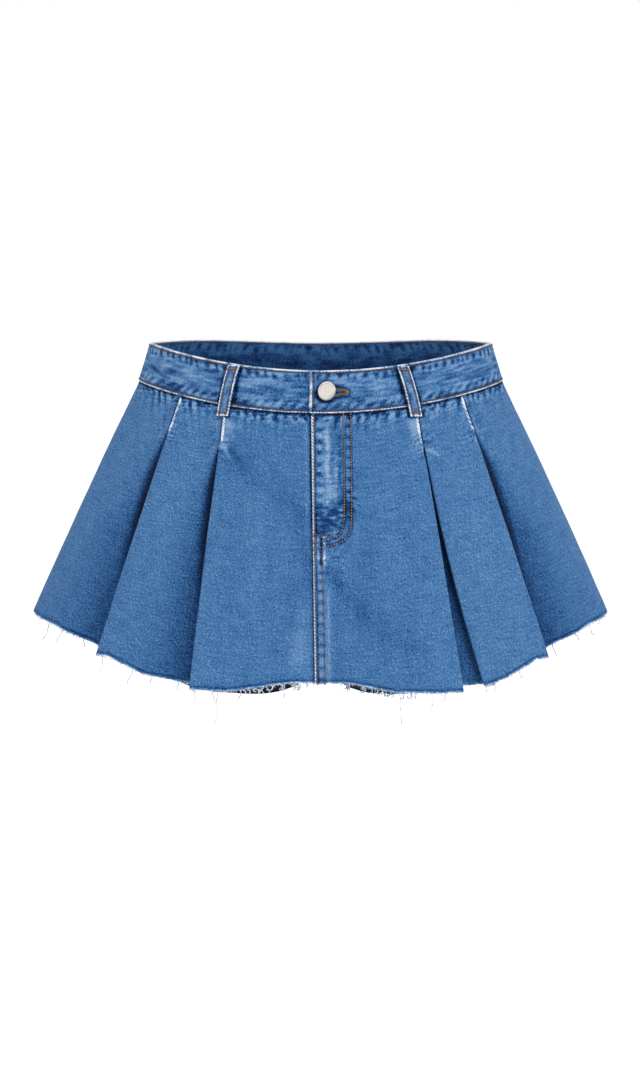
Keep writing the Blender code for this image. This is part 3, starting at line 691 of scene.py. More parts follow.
def sewn_panel(name, columns, hand, facing, creases, seed):
    """A whole panel: its folds, the ripples at its seams, the marks of its wash and its painted
    shade.
    """
    side = hand if facing == "front" else -hand
    column = Column(*np.array(columns).T)
    lay = lay_of(panel_middle(columns, hand, facing), side)
    across, below = lay.across, lay.below
    x, z = lay.middle[..., 0] * hand, lay.middle[..., 2]
    share = PANEL_SHARES[:, None]
    outside = 1.0 - column.inside
    from_hem = below[-1:] - below
    ripple = puckers(across, below, 0.0088, 0.0100, seed)
    crease_lift = creased(x, z, creases)
    lift = (crease_lift + 0.00038 * ripple) * outside
    lift += 0.0004 * cloudy(across, below, (0.045, 0.060), seed + 3) * outside * smooth(share * 5)
    faded = crease_lift / 0.0030 + 2.2 * ripple * outside
    faded += 1.1 * scallops(across, below, 0.0090, 0.0048, seed + 8) * outside
    # Painted shade on the cloth just below the band.
    faded -= 0.50 * bell(below, 0.0065) * outside
    faded += 0.14 * smooth((np.abs(x) - 0.070) / 0.05) * outside
    open_top = 1.0 - smooth((share - STITCHED) / 0.06)
    dark, white, crumpled = fold_marks(column, x, share)
    worn = white * (0.85 + 0.45 * wander(below, 0.0045, seed + 4))
    worn += 0.9 * bell(from_hem, 0.0012) * (0.8 + 0.4 * wander(across, 0.004, seed + 5))
    angle = np.arctan2(lay.middle[..., 0] / SEAM_HALF_WIDTH,
                       -lay.middle[..., 1] / SEAM_HALF_DEPTH)
    # Painted shadow in a thin line under the band's foot and round the feet of the belt loops.
    shade_under_band_and_loops = 1.0 - smooth((below - 0.0008) / 0.0011) + loop_shadow(angle, below)
    # Inside the pleats: unfaded indigo, darkened more by painted shade, most near the top where
    # they are sewn shut.
    deep = 0.62 - 0.42 * smooth((share - 0.45) / 0.5)
    hidden = smooth((column.inside - 0.75) / 0.2) * (deep + 0.38 * open_top)
    hidden = np.maximum(np.maximum(hidden, dark), shade_under_band_and_loops * outside)
    hidden = hidden + 0.50 * bell(from_hem - RAW_ROLL, 0.0010) * outside
    crumpled = 1.1 * crumpled + 1.30 * np.exp(-(below / 0.0115) ** 1.8) + 0.10
    look = SimpleNamespace(lift=lift, thick=np.full(x.shape, DENIM / 2), faded=faded, worn=worn,
                           hidden=hidden, crumpled=crumpled, corded=white)
    if facing == "front":
        look.faded += creased(x, z, STREAKS[hand]) * outside
    if facing == "front" and hand > 0:
        dress_lap(look, across, x, z, share, seed)
    elif facing == "front":
        dress_beside_lap(look, x, share)
    elif hand > 0:
        dress_back_seam(look, across, z, seed)
    marks = {"faded": np.clip(look.faded, -1.8, 1.8), "worn": np.clip(look.worn, 0, 1.1),
             "hidden": np.clip(look.hidden, 0, 1.1), "crumpled": look.crumpled,
             "corded": look.corded, "wrong_side": (0.0, 0.85)}
    return cloth(name, lay, side, look.lift, look.thick, marks, PANEL_DENIM)


def dress_lap(look, from_edge, x, z, share, seed):
    """The left front's own edge: the fly, its facing's double curve, and the felled seam."""
    on_fly = smooth((z - FLY_FOOT) / 0.004)
    seam_strip = smooth((FELL_WIDTH - from_edge) / 0.0012) * (1.0 - on_fly)
    facing_strip = smooth((FACING_WIDTH - from_edge) / 0.0015) * on_fly
    extra = SEAM_LAYER * seam_strip + 0.5 * SEAM_LAYER * facing_strip
    look.thick = (DENIM / 2 + extra / 2) * rounded_edge(from_edge, CUT_EDGE_ROUND, 0.06)
    seam_ripple = puckers(-z, from_edge - FELL_ROW_IN, 0.0098, 0.0075, seed + 6)
    clear = smooth(from_edge / 0.0025)
    dashes = rungs(-z, FELL_RUNG_PITCH, seed + 7)
    in_strip = smooth((from_edge - 0.0030) / 0.0010) * smooth((0.0104 - from_edge) / 0.0012)
    in_strip *= (1.0 - on_fly) * (0.55 + 0.45 * bell(from_edge - 0.0066, 0.0026))
    j_strip = bell(from_edge - FACING_STRIP_MIDDLE, 0.0022)
    j_strip = j_strip * smooth((z - FACING_STRIP_FOOT) / 0.006)
    look.lift += extra / 2 + 0.00022 * seam_ripple * clear
    look.lift += 0.00016 * dashes * (in_strip + j_strip)
    look.lift -= 0.00045 * bell(from_edge - 0.0026, 0.0007)
    fly_fade, fly_rub, painted_groove_shade = fly_wear(x, z, seed)
    look.faded += 0.30 * seam_ripple * clear * (1.0 - on_fly)
    look.faded += (1.2 * dashes + 0.60) * in_strip + (1.3 * dashes + 0.1) * j_strip
    look.faded += patchy(x, z, FLY_PATCHES)
    look.faded += fly_fade
    look.faded += 0.9 * bell(from_edge - 0.0120, 0.0016) * smooth((-0.20 - z) / 0.02)
    rim = blend(*FELL_RIM, smooth(share * 1.2))
    on_rim = smooth((rim - from_edge) / 0.0006)
    look.worn += fly_rub
    look.worn += 0.92 * on_rim
    look.corded = np.maximum(look.corded, 1.5 * on_rim)
    # Painted shade: in a groove below the fly's curve, beside the edge's worn rim, and along the
    # facing's two rows.
    look.hidden = np.maximum(look.hidden, painted_groove_shade) + 0.45 * bell(from_edge - 0.0030, 0.0007)
    for drawn in (facing_row, outer_row):
        beside_row = bell(from_path(x, z, drawn), 0.0009)
        look.hidden = np.maximum(look.hidden, 0.75 * beside_row)
    in_fly = smooth((0.0285 - from_edge) / 0.004) * smooth((z + 0.205) / 0.02)
    look.crumpled = np.maximum(look.crumpled, 0.60 * in_fly)


def dress_beside_lap(look, x, share):
    """The right front: painted shadow beside the edge that laps over it, then paler cloth."""
    beside = x - blend(PANEL_LAP_TOP, PANEL_LAP_HEM, smooth(share * 1.1))
    dark = 0.80 * (1.0 - smooth((beside - 0.0003) / 0.0013)) * (x > 0)
    look.hidden = np.maximum(look.hidden, dark)
    look.faded += 0.35 * bell(beside - 0.0045, 0.0014) * (x > 0)


def dress_back_seam(look, across, z, seed):
    """The upper side of the felled seam at the centre back."""
    strip = smooth((FELL_WIDTH - across) / 0.0012)
    look.lift += SEAM_LAYER * strip / 2
    look.thick = look.thick + SEAM_LAYER * strip / 2
    look.faded += 1.25 * rungs(-z, FELL_RUNG_PITCH, seed + 7) * bell(across - 0.0056, 0.0026)
    look.worn += 0.9 * bell(across - FELL_WIDTH, 0.0010)
    look.corded = np.maximum(look.corded, bell(across - FELL_WIDTH, 0.0012))


def eased(points, rounds=3):
    """The path with its corners rounded off by cutting them, a few times over."""
    points = np.asarray(points, dtype=float)
    for _ in range(rounds):
        near = points[:-1] * 0.75 + points[1:] * 0.25
        far = points[:-1] * 0.25 + points[1:] * 0.75
        points = np.concatenate((points[:1], np.stack((near, far), 1).reshape(-1, 2),
                                 points[-1:]))
    return points


# Where the fly's wear lies: from its edge, between two heights, and round its curve. The
# painted shade of a groove lies on the felled seam just below the curve.
FLY_WEAR_EDGE = -0.0052
FLY_WEAR_TOP = -0.0800
FLY_WEAR_FOOT = -0.1420
FLY_LOOP_PITCH = 0.0093
FLY_CURVE = -0.1560
GROOVE_TOP = -0.1640
GROOVE_FOOT = -0.1920

# The double curve that holds the zip's facing, drawn on the front as (x, z).
facing_row = eased(((0.0197, DRAWN_FROM), (0.0203, -0.0930), (0.0203, -0.1350),
                    (0.0203, -0.1530), (0.0165, -0.1645), (0.0080, -0.1672),
                    (-0.0056, -0.1706)))
outer_row = eased(((0.0260, DRAWN_FROM), (0.0264, -0.1100), (0.0264, -0.1430),
                   (0.0262, -0.1610), (0.0200, -0.1690), (0.0090, -0.1727),
                   (-0.0056, -0.1754)))


def from_path(x, z, path):
    """How far each point is from an open path of short straight lengths."""
    nearest = np.full(x.shape, 1.0)
    for (x1, z1), (x2, z2) in zip(path, path[1:]):
        length = hypot(x2 - x1, z2 - z1)
        share = ((x - x1) * (x2 - x1) + (z - z1) * (z2 - z1)) / length ** 2
        share = np.clip(share, 0.0, 1.0)
        away = np.hypot(x - blend(x1, x2, share), z - blend(z1, z2, share))
        nearest = np.minimum(nearest, away)
    return nearest


def fly_wear(x, z, seed):
    """Pale upright strokes and dark loops inside the fly, dark ripples at its curve, and the
    painted shade of a groove below it.
    """
    past_edge = smooth((x - FLY_WEAR_EDGE) / 0.001)
    upper = smooth((z - FLY_WEAR_FOOT) / 0.006) * past_edge * smooth((0.0195 - x) / 0.002)
    loops = bell(x + 0.0010 + 0.0012 * wander(z, 0.02, seed), 0.0026)
    beat = np.cos(2 * pi * (z / FLY_LOOP_PITCH + 0.3 * wander(z, 0.03, seed + 1)))
    between_loops = loops * smooth((-beat - 0.1) / 0.5)
    strokes = bell(x - 0.0058 - 0.0014 * wander(z, 0.013, seed + 2), 0.0024)
    strokes += 0.6 * bell(x - 0.0128, 0.0015) * smooth(0.6 + wander(z, 0.02, seed + 3))
    wear = 0.7 * strokes + 0.6 * between_loops - 1.7 * loops * smooth((beat - 0.1) / 0.5)
    wear -= 0.7 * bell(x - 0.0165, 0.0022)
    rub = 0.12 * (strokes + between_loops)
    fading = upper * (1.0 - 0.6 * smooth((z - FLY_WEAR_TOP) / 0.012))
    curve = bell(z - FLY_CURVE - 0.65 * x, 0.0120) * past_edge * smooth((0.034 - x) / 0.007)
    ripples = cloudy(x + 0.3 * z, z, (0.0075, 0.0022), seed + 4)
    low = smooth((z - GROOVE_FOOT) / 0.005) * smooth((GROOVE_TOP - z) / 0.003)
    painted_groove_shade = bell(x - 0.0004, 0.0011) * low
    pale = (bell(x - 0.0030, 0.0011) + 0.5 * bell(x + 0.0026, 0.0016)) * low
    faded = wear * fading + curve * (2.6 * ripples - 0.9)
    return faded, rub * fading + 0.60 * pale, 0.85 * painted_groove_shade


lap = [flat_column(x, hem_x, PANEL_LAP_OUT, PANEL_LAP_OUT, FRONT_CENTRE_HEM)
       for x, hem_x in ((-PANEL_LAP_TOP, -PANEL_LAP_HEM), (0.0100, 0.0100))]
lap_start = [lap[0]] + between(lap[0], lap[1], step=FLY_COLUMN_STEP)
first_flat = FRONT_LEFT[0]
lap_start += between(lap[1], flat_column(first_flat.seam_x, first_flat.hem_x, PANEL_LAP_OUT,
                                         first_flat.hem_out, first_flat.hem_z),
                     hold=0.1, step=FLY_COLUMN_STEP)
shield = flat_column(-FELL_START, -FELL_START, -PANEL_LAP_OUT, -PANEL_LAP_OUT, FRONT_CENTRE_HEM)
shield_edge, shield_fold = (shield._replace(seam_tuck=FELL_START - FLY_SHIELD * share,
                                            hem_tuck=FELL_START - FELL_ALLOWANCE * share)
                            for share in (1.0, 0.5))
shield_start = [shield_edge] + between(shield_edge, shield_fold)
shield_start += between(shield_fold, flat_column(0.0110, 0.0080, -PANEL_LAP_OUT,
                                                 -PANEL_LAP_OUT, FRONT_CENTRE_HEM))
back_start = [flat_column(0, 0, 0, 0, BACK_CENTRE_HEM)]

Panel = namedtuple("Panel", "piece columns hand facing")
PANELS = {}
for node, start, stations, hand, facing, creases, seed in (
        ("front_panel_left", lap_start, FRONT_LEFT[1:], 1, "front", LEFT_CREASES, 1),
        ("front_panel_right", shield_start, FRONT_RIGHT, -1, "front", RIGHT_CREASES, 11),
        ("back_panel_left", back_start, BACK, 1, "back", BACK_CREASES, 21),
        ("back_panel_right", back_start, BACK, -1, "back", BACK_CREASES, 31)):
    columns = panel_columns(start, stations, SIDE_HEM[hand])
    piece = sewn_panel(node + "_cloth", columns, hand, facing, creases, seed)
    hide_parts(node)
    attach(piece, "root")
    PANELS[node] = Panel(piece, columns, hand, facing)


# ---------------------------------------------------------------- Inner shorts
# Two legs of plain dark navy cloth, each cut in one piece and closed along its inseam, sewn
# into the waist seam behind the panels. Their hems are turned up and stitched once.
SHORTS_WALL = 0.0010
LEG_HALF_WIDTH = 0.0780
LEG_SQUARENESS = 2.4           # 2 is an oval
LEG_SPREAD = 0.0030            # how far the legs part at their hems
INSEAM_ANGLE = 72.0            # degrees round the body, where the seam's height sets the leg's
LEG_HANG = 0.0385              # how much lower the hem hangs in front
LEG_HANG_TURN = 30.0           # degrees inwards from the front to its lowest place
INSEAM_GAP = 0.0005            # left open at the inseam, as a share of the way round
BAND_LAP_OUT = 0.0015          # how far the band's left end stands out, and its right end sinks
CROTCH_DROP = 0.1780
SHORTS_ROW_UP = 0.0120         # the hem's stitch row, up from its edge
# From the waist seam down: the trunk's half sizes, the leg's place and depth, and how far
# the trunk has parted into legs.
ShortsRow = namedtuple("ShortsRow", "drop half_width half_depth leg_y leg_depth leg")
SHORTS_ROWS = in_tenths(ShortsRow, 5,
    (-60, 1649, 1019, -100, 1000, 0.0), (-8, 1641, 1007, -100, 1000, 0.0),
    (300, 1655, 1030, -100, 1040, 0.0), (750, 1675, 1065, -100, 1070, 0.0),
    (1150, 1670, 1100, -100, 1090, 0.0), (1420, 1650, 1120, -100, 1100, 0.15),
    (1630, 1640, 1140, -100, 1120, 0.5), (1780, 1640, 1150, -100, 1140, 1.0),
    (2000, 1640, 1160, -140, 1200, 1.0), (2270, 1640, 1160, -180, 1280, 1.0))
SHORTS_STEPS = (90, 150)       # rows down and columns round


def shorts_middle(hand):
    """The grid of points through the middle of one leg: rows run round it."""
    table = ShortsRow(*np.array(SHORTS_ROWS).T)
    drops = np.unique(np.concatenate((np.linspace(table.drop[0], table.drop[-1],
                                                  SHORTS_STEPS[0]), table.drop)))
    row = ShortsRow(*(np.interp(drops, table.drop, field)[:, None] for field in table))
    fraction = np.linspace(0, 1, SHORTS_STEPS[1])[None, :]
    fraction = np.where(row.leg == 1, blend(INSEAM_GAP, 1 - INSEAM_GAP, fraction), fraction)
    power = 2 / LEG_SQUARENESS
    around = 2 * pi * fraction
    cosine, sine = (np.sign(wave) * np.abs(wave) ** power
                    for wave in (np.cos(around), np.sin(around)))
    hem_drop = SHORTS_ROWS[-1].drop
    spread = LEG_SPREAD * np.maximum(0.0, row.drop - CROTCH_DROP) / (hem_drop - CROTCH_DROP)
    x = blend(row.half_width * np.sin(pi * fraction),
              LEG_HALF_WIDTH * (1 - cosine) + spread, row.leg)
    y = blend(-row.half_depth * np.cos(pi * fraction), row.leg_y - row.leg_depth * sine,
              row.leg)
    x = x + SHORTS_WALL / 2 * row.leg
    tucked = (row.drop < 0) & (y < 0)
    y = y + np.where(tucked, BAND_LAP_OUT * (1 - smooth((x - 0.030) / 0.015)), 0.0)
    share = np.maximum(0.0, row.drop) / hem_drop
    height = blend(seam_height(pi * fraction), seam_height(radians(INSEAM_ANGLE)), row.leg)
    forward = 0.5 + 0.5 * np.sin(around + radians(LEG_HANG_TURN))
    height = height - row.drop - LEG_HANG * forward * share ** 2 * row.leg
    return np.stack((x * hand, y, height), axis=-1)


def plain_weave(name, colour, pale):
    """Fine plain cloth: threads over and under at right angles, a little uneven."""
    material, tree, shader = shaded(name, {"Roughness": 0.88, "Specular IOR Level": 0.2,
                                           "Sheen Weight": 0.15})
    warp = grain(tree, 90, (0.0060, 0.0007))
    weft = grain(tree, 0, (0.0060, 0.0007))
    mottle = grain(tree, 0, (0.020, 0.028), 3.0)
    level = weighed(tree, 0.35, (warp, 0.6, 0.5), (weft, 0.6, 0.5), (mottle, 0.5, 0.5),
                    (marked(tree, "faded"), 0.25, 0.0))
    coloured(tree, shader, level, colour, pale)
    height = weighed(tree, 0.0, (warp, 0.6, 0.5), (weft, 0.6, 0.5))
    raised(tree, shader, height, 0.4, 0.0003)
    return material


NAVY_CLOTH = plain_weave("navy_plain_weave", (0.006, 0.011, 0.030), (0.022, 0.034, 0.075))


def shorts_leg(name, hand, seed):
    lay = lay_of(shorts_middle(hand), hand)
    across, below = lay.across, lay.below
    from_hem = below[-1:] - below
    from_row = from_hem - SHORTS_ROW_UP
    free = smooth((below - 0.045) / 0.05)
    soft = cloudy(across, below, (0.040, 0.075), seed)
    drag = cloudy(across + 0.4 * below, below, (0.022, 0.110), seed + 1)
    inseam = np.minimum(across, across[:, -1:] - across)
    clear = smooth(inseam / 0.02)
    lift = -free * clear * (0.0016 * np.abs(soft) + 0.0012 * np.abs(drag))
    gather = puckers(across, below, 0.011, 0.012, seed + 2)
    hem_ripple = puckers(across, from_row, 0.009, 0.006, seed + 3)
    lift += (0.00018 * hem_ripple - 0.00030 * bell(from_row, 0.0012)) * clear
    thick = SHORTS_WALL / 2 * (1.0 + 0.35 * smooth((0.0125 - from_hem) / 0.001))
    thick = thick - 0.5 * SHORTS_WALL * 0.35 * smooth((0.02 - inseam) / 0.02)
    marks = {"faded": gather + 0.8 * hem_ripple + soft}
    return cloth(name, lay, hand, lift, thick, marks, NAVY_CLOTH)


LEGS = {}
for side, hand, seed in (("left", 1, 41), ("right", -1, 51)):
    piece = shorts_leg("shorts_leg_" + side + "_cloth", hand, seed)
    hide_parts("shorts_leg_" + side)
    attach(piece, "root")
    LEGS[hand] = piece


# ---------------------------------------------------------------- Waistband
# A contour band of doubled denim in two halves, joined at the centre back. It is turned
# over at the top and closed in front, the wearer's left end over the right.
TOP_FRONT_DIP = 0.0245         # how much lower its top edge is at the centre front
BAND_WALL = 0.0026             # two layers
BAND_HEIGHT = 0.0370
BAND_LAP = 0.0094              # the left half's end, past the centre line
BAND_UNDERLAP = 0.0270         # the right half's end, behind it
LAP_CLEAR = 0.0020             # how far past the other end each half stays parted
BAND_EDGE_ROUND = 0.0012
BAND_ROW_IN = 0.0023           # the stitch rows, in from the band's edges
BAND_END_ROW = 0.0034          # and in from its end
TOP_CORNER = 0.0034            # radii of the end's corners
FOOT_CORNER = 0.0016
BUTTON_X = 0.0051              # the shank, past the centre line
BUTTON_LEVEL = 0.52            # and down the band, as a share
BUTTONHOLE_LENGTH = 0.0166
BUTTONHOLE_WIDTH = 0.0010
SHANK_HOLE = 0.0032            # radius of the buttonhole's round end
CUT_DEPTH = 0.0060
EYELET_DEPTH = 0.0052
PATCH_UP = 0.0068              # the wash's slanting patches, up from the band's foot
CAP_SHIFT = 0.0008             # the leaning cap's shadow on the band, off the shank's axis
CAP_SHADOW_RADIUS = 0.0088
BandHalf = namedtuple("BandHalf", "hand end_x lap_out lap_length")
LEFT_HALF = BandHalf(1, BAND_LAP, BAND_LAP_OUT, BAND_UNDERLAP + LAP_CLEAR)
RIGHT_HALF = BandHalf(-1, BAND_UNDERLAP, -BAND_LAP_OUT, BAND_LAP + LAP_CLEAR)
BAND_DENIM = denim("faded_band_denim", 0.512)


def band_point(angle, share, out=0.0):
    """Points of the waistband, `share` of the way from its top edge to the seam."""
    x, y = oval(blend(TOP_HALF_WIDTH, SEAM_HALF_WIDTH, share),
                blend(TOP_HALF_DEPTH, SEAM_HALF_DEPTH, share), angle, out)
    z = blend(edge_height(angle, 0.0, TOP_FRONT_DIP), seam_height(angle), share)
    return np.stack(np.broadcast_arrays(x, y, z), axis=-1)


def lap_shift(angle, half):
    """How far the band's end parts from its middle line, to lap over the other end."""
    x = TOP_HALF_WIDTH * np.sin(angle)
    shift = half.lap_out * (1 - smooth((x - half.lap_length) / 0.015))
    return np.where(np.cos(angle) > 0, shift, 0.0)


def corner(distance, radius):
    """How far a rounded corner cuts in, at a distance from the end of a strip."""
    reach = np.clip(radius - distance, 0.0, radius)
    return radius - np.sqrt(radius ** 2 - reach ** 2)


def band_lay(half):
    """A half's grid: angle, share of its height, points and distance from its front end."""
    start = asin(-half.end_x / TOP_HALF_WIDTH)
    near = np.linspace(0, 1, 15)[:-1] ** 1.6 * 0.03
    angle = np.concatenate((start + near, np.linspace(start + 0.03, pi, 250)))[None, :]
    edge = BAND_EDGE_ROUND / BAND_HEIGHT * np.array((0, 0.12, 0.35, 0.65, 1.0, 1.4, 1.8, 2.3, 2.8))
    share = np.concatenate((edge, np.linspace(edge[-1], 1 - edge[-1], 26)[1:-1],
                            1 - edge[::-1]))[:, None]
    reach = (angle - start) * TOP_HALF_WIDTH
    share = blend(corner(reach, TOP_CORNER) / BAND_HEIGHT,
                  1 - corner(reach, FOOT_CORNER) / BAND_HEIGHT, share)
    middle = band_point(angle, share, lap_shift(angle, half))
    middle[..., 0] *= half.hand
    return angle, share, middle, np.broadcast_to(reach, share.shape)


def waistband(name, half, seed):
    hand = half.hand
    angle, share, middle, from_end = band_lay(half)
    lay = lay_of(middle, hand)
    across = np.broadcast_to(lay.across[len(middle) // 2], share.shape)
    below = lay.below
    from_top, from_foot = below, below[-1:] - below
    from_edge = np.minimum(from_top, from_foot)
    thick = BAND_WALL / 2 * rounded_edge(from_edge, BAND_EDGE_ROUND)
    thick *= rounded_edge(from_end, BAND_EDGE_ROUND)
    top_row, foot_row = from_top - BAND_ROW_IN, from_foot - BAND_ROW_IN
    row = bell(top_row, 0.0007) + bell(foot_row, 0.0007)
    row += bell(from_end - BAND_END_ROW, 0.0007) * smooth(from_edge / 0.0025)
    top_ripple = puckers(across, top_row, 0.0078, 0.0062, seed)
    foot_ripple = puckers(across, foot_row, 0.0090, 0.0075, seed + 1)
    clear = smooth(from_edge / 0.003)
    lift = (0.00016 * top_ripple + 0.00018 * foot_ripple) * clear
    thick = thick - 0.00028 * row
    streaks = cloudy(across, below, (0.016, 0.0026), seed + 3)
    clouds = cloudy(across - below, below, (0.012, 0.010), seed + 4)
    slant = np.cos(2 * pi * ((across - hand * 1.1 * from_foot) / 0.0098
                             + 0.5 * wander(across, 0.03, seed + 5)))
    patches = smooth((slant + 0.15) / 0.7) * bell(from_foot - PATCH_UP, 0.0036)
    faded = 0.35 * foot_ripple * clear + 1.0 * streaks + 0.6 * clouds
    faded += (2.1 * patches - 0.9 * bell(from_foot - PATCH_UP, 0.0040)) * (0.9 + 0.5 * clouds)
    faded += scallops(across, from_top, 0.0082, 0.0056, seed + 6)
    beside_slit, from_cap = beside_button(middle * (hand, 1, 1))
    faded -= 0.45 * bell(foot_row - 0.0012, 0.0009)
    inner = 0.55 * scallops(across, from_top, 0.0092, 0.0070, seed + 9)
    # Painted light across the inside a little below its top, where the band's front doesn't shade
    # it, over mottling.
    inner += 0.6 * bell(from_top - 0.0085, 0.0075) + 0.40 * streaks + 0.50 * clouds
    rub = 0.9 + 0.3 * wander(across, 0.005, seed + 7)
    rim = np.maximum(smooth((0.0018 - from_top) / 0.0007),
                     smooth((0.0019 - from_foot) / 0.0007))
    rim = np.maximum(rim, smooth((0.0025 - from_end) / 0.0008))
    worn = 0.95 * rim * rub
    inner_rim = smooth((0.0017 - from_top) / 0.0006)
    # Painted shade in the stitch rows' grooves and painted shadow beside the belt loops; on the
    # left half, painted shade round the buttonhole's slit and a painted shadow round the button's
    # cap; a thin painted shade line at the band's foot; on the inside, painted shade over unfaded
    # indigo.
    hidden = 0.75 * row + 0.95 * band_loop_shadow(hand * angle, share)
    if hand > 0:
        worn = np.maximum(worn, 0.8 * bell(beside_slit, 0.0011))
        hidden = np.maximum(hidden, 0.8 * bell(beside_slit - 0.0034, 0.0012))
        hidden = np.maximum(hidden, 0.85 * bell(np.maximum(from_cap, 0.0), 0.0012))
    hidden = np.maximum(hidden, 0.9 * bell(from_foot, 0.00035))
    crumpled = 0.42 + 0.3 * clouds
    marks = {"faded": (np.clip(faded, -2, 2), inner), "worn": (worn, 0.85 * inner_rim),
             "hidden": (hidden, 0.49 * (1 - inner_rim)),
             "crumpled": (crumpled * (1 - 0.7 * rim), 0.15),
             "corded": 0.45 * rim * smooth((from_end - 0.002) / 0.002)}
    return cloth(name, lay._replace(across=across), hand, lift, thick, marks, BAND_DENIM)


def beside_button(points):
    """How far points of the band are from the buttonhole's slit and from the cap's rim."""
    local = points.reshape(-1, 3) - np.array(BUTTON_PLACE.translation)
    local = (local @ np.array(BUTTON_PLACE.to_3x3())).reshape(points.shape)
    x, y = local[..., 0], local[..., 1]
    past_ends = x - np.clip(x, 0.0, BUTTONHOLE_LENGTH)
    widened = 1.0 + 0.8 * np.clip(1.0 - x / BUTTONHOLE_LENGTH, 0.0, 1.0)
    return np.hypot(past_ends, y / widened), np.hypot(x + CAP_SHIFT, y) - CAP_SHADOW_RADIUS


def band_loop_shadow(angle, share):
    """Dark on the band along both sides of each belt loop."""
    dark = 0.0
    places = [blend(radians(head), radians(foot), share) for head, foot in LOOP_ANGLES.values()]
    for beside in beside_loops(angle, places, TOP_HALF_WIDTH, TOP_HALF_DEPTH):
        dark = np.maximum(dark, bell(beside - 0.0004, 0.0016))
    return dark


def button_frame():
    """Where the button is sewn: on the band's face, its Z axis away from the body."""
    angle = asin(BUTTON_X / TOP_HALF_WIDTH)
    here, head, foot = (Vector(band_point(angle, share)) for share in (BUTTON_LEVEL, 0, 1))
    along = Vector((cos(angle), sin(angle), 0)).normalized()
    up = (head - foot).normalized()
    turned = Matrix((along, up, along.cross(up).normalized())).transposed().to_4x4()
    return Matrix.Translation(here) @ turned


def cut_through(piece, mesh, matrix):
    """Cuts a hole through a piece with a closed body, and keeps the result."""
    tool = placed("cut", modelled("cut", mesh, matrix))
    hole = piece.modifiers.new("hole", "BOOLEAN")
    hole.object = tool
    hole.solver = "EXACT"
    graph = bpy.context.evaluated_depsgraph_get()
    result = bpy.data.meshes.new_from_object(piece.evaluated_get(graph))
    piece.modifiers.clear()
    piece.data = result
    bpy.data.objects.remove(tool)


BUTTON_PLACE = button_frame()
band_left = waistband("waistband_left_cloth", LEFT_HALF, 61)
band_right = waistband("waistband_right_cloth", RIGHT_HALF, 71)
slit = bmesh.new()
bmesh.ops.create_cube(slit, size=1.0)
slit.transform(Matrix.Diagonal((BUTTONHOLE_LENGTH, BUTTONHOLE_WIDTH, CUT_DEPTH, 1.0)))
cut_through(band_left, slit,
            BUTTON_PLACE @ Matrix.Translation((BUTTONHOLE_LENGTH / 2, 0, BAND_LAP_OUT + 0.0016)))
eyelet = bmesh.new()
bmesh.ops.create_cone(eyelet, cap_ends=True, segments=24, radius1=SHANK_HOLE,
                      radius2=SHANK_HOLE, depth=EYELET_DEPTH)
cut_through(band_left, eyelet, BUTTON_PLACE @ Matrix.Translation((0, 0, EYELET_DEPTH / 2)))
for piece, node, cut in ((band_left, "waistband_left", (0.4520, 0.0381)),
                         (band_right, "waistband_right", (0.4705, 0.0381))):
    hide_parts(node)
    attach(piece, "root")


# ---------------------------------------------------------------- Belt loops
# Five narrow strips of folded denim, their edges worn white, each sewn across the band and
# barred with orange thread at its top and foot.
LOOP_WALL = 0.0018
LOOP_SLACK = 0.0024            # how far it stands off the band midway
LOOP_EDGE_ROUND = 0.0009
LOOP_ROW_IN = 0.0023
LOOP_END = 0.0010              # how far in its rounded ends reach


def run_places(points):
    """How far along an open path each of its points is."""
    steps = np.linalg.norm(np.diff(points, axis=0), axis=1)
    return np.concatenate(([0.0], np.cumsum(steps)))


def at_places(points, along):
    """Points at the given places along an open path."""
    places = run_places(points)
    return np.stack([np.interp(along, places, points[:, axis])
                     for axis in range(points.shape[1])], axis=-1)


def loop_lay(top_degrees, foot_degrees):
    """A loop's grid of points, with the directions away from the body."""
    top, angle = radians(top_degrees), radians(foot_degrees)
    rest = BAND_WALL / 2 + GAP + LOOP_WALL / 2
    # Down the band: the share of its height, and the part of the slack that stands off it.
    slack = ((0.03, 0.0), (0.10, 0.15), (0.30, 0.85), (0.55, 1.0), (0.80, 0.7), (0.98, 0.25))
    path = [band_point(blend(top, angle, share), share, rest + LOOP_SLACK * part)
            for share, part in slack]
    below = band_point(angle, 1.0, rest + 0.0001)
    down = Vector((sin(angle) * 0.42, -cos(angle) * 0.30, -1.0)).normalized()
    path += [below + np.array(down) * LOOP_BELOW_SEAM * part for part in (0.5, 1.0)]
    path = np.array(path)
    length = run_places(path)[-1]
    along = np.linspace(0, length, 60)
    along = along[(along > LOOP_END) & (along < length - LOOP_END)]
    along = np.concatenate((np.linspace(0, LOOP_END, 4), along,
                            np.linspace(length - LOOP_END, length, 4)))
    line = at_places(path, along)
    for _ in range(3):
        line[1:-1] = (line[:-2] + 2 * line[1:-1] + line[2:]) / 4
    side = Vector((cos(angle), sin(angle) * SEAM_HALF_DEPTH / SEAM_HALF_WIDTH, 0)).normalized()
    edge = LOOP_EDGE_ROUND / LOOP_WIDTH * np.array((0, 0.15, 0.45, 1.0))
    across = np.concatenate((edge, np.linspace(edge[-1], 1 - edge[-1], 13)[1:-1],
                             1 - edge[::-1])) - 0.5
    middle = line[:, None, :] + np.array(side) * (across * LOOP_WIDTH)[None, :, None]
    step = np.gradient(line, axis=0)
    away = np.cross(step, np.array(side))
    away /= np.linalg.norm(away, axis=-1, keepdims=True)
    if away[0] @ np.array((sin(angle), -cos(angle), 0)) < 0:
        away = -away
    away = np.broadcast_to(away[:, None, :], middle.shape)
    shape = middle.shape[:2]
    return Lay(middle, away, np.broadcast_to(across * LOOP_WIDTH, shape),
               np.broadcast_to(along[:, None], shape))


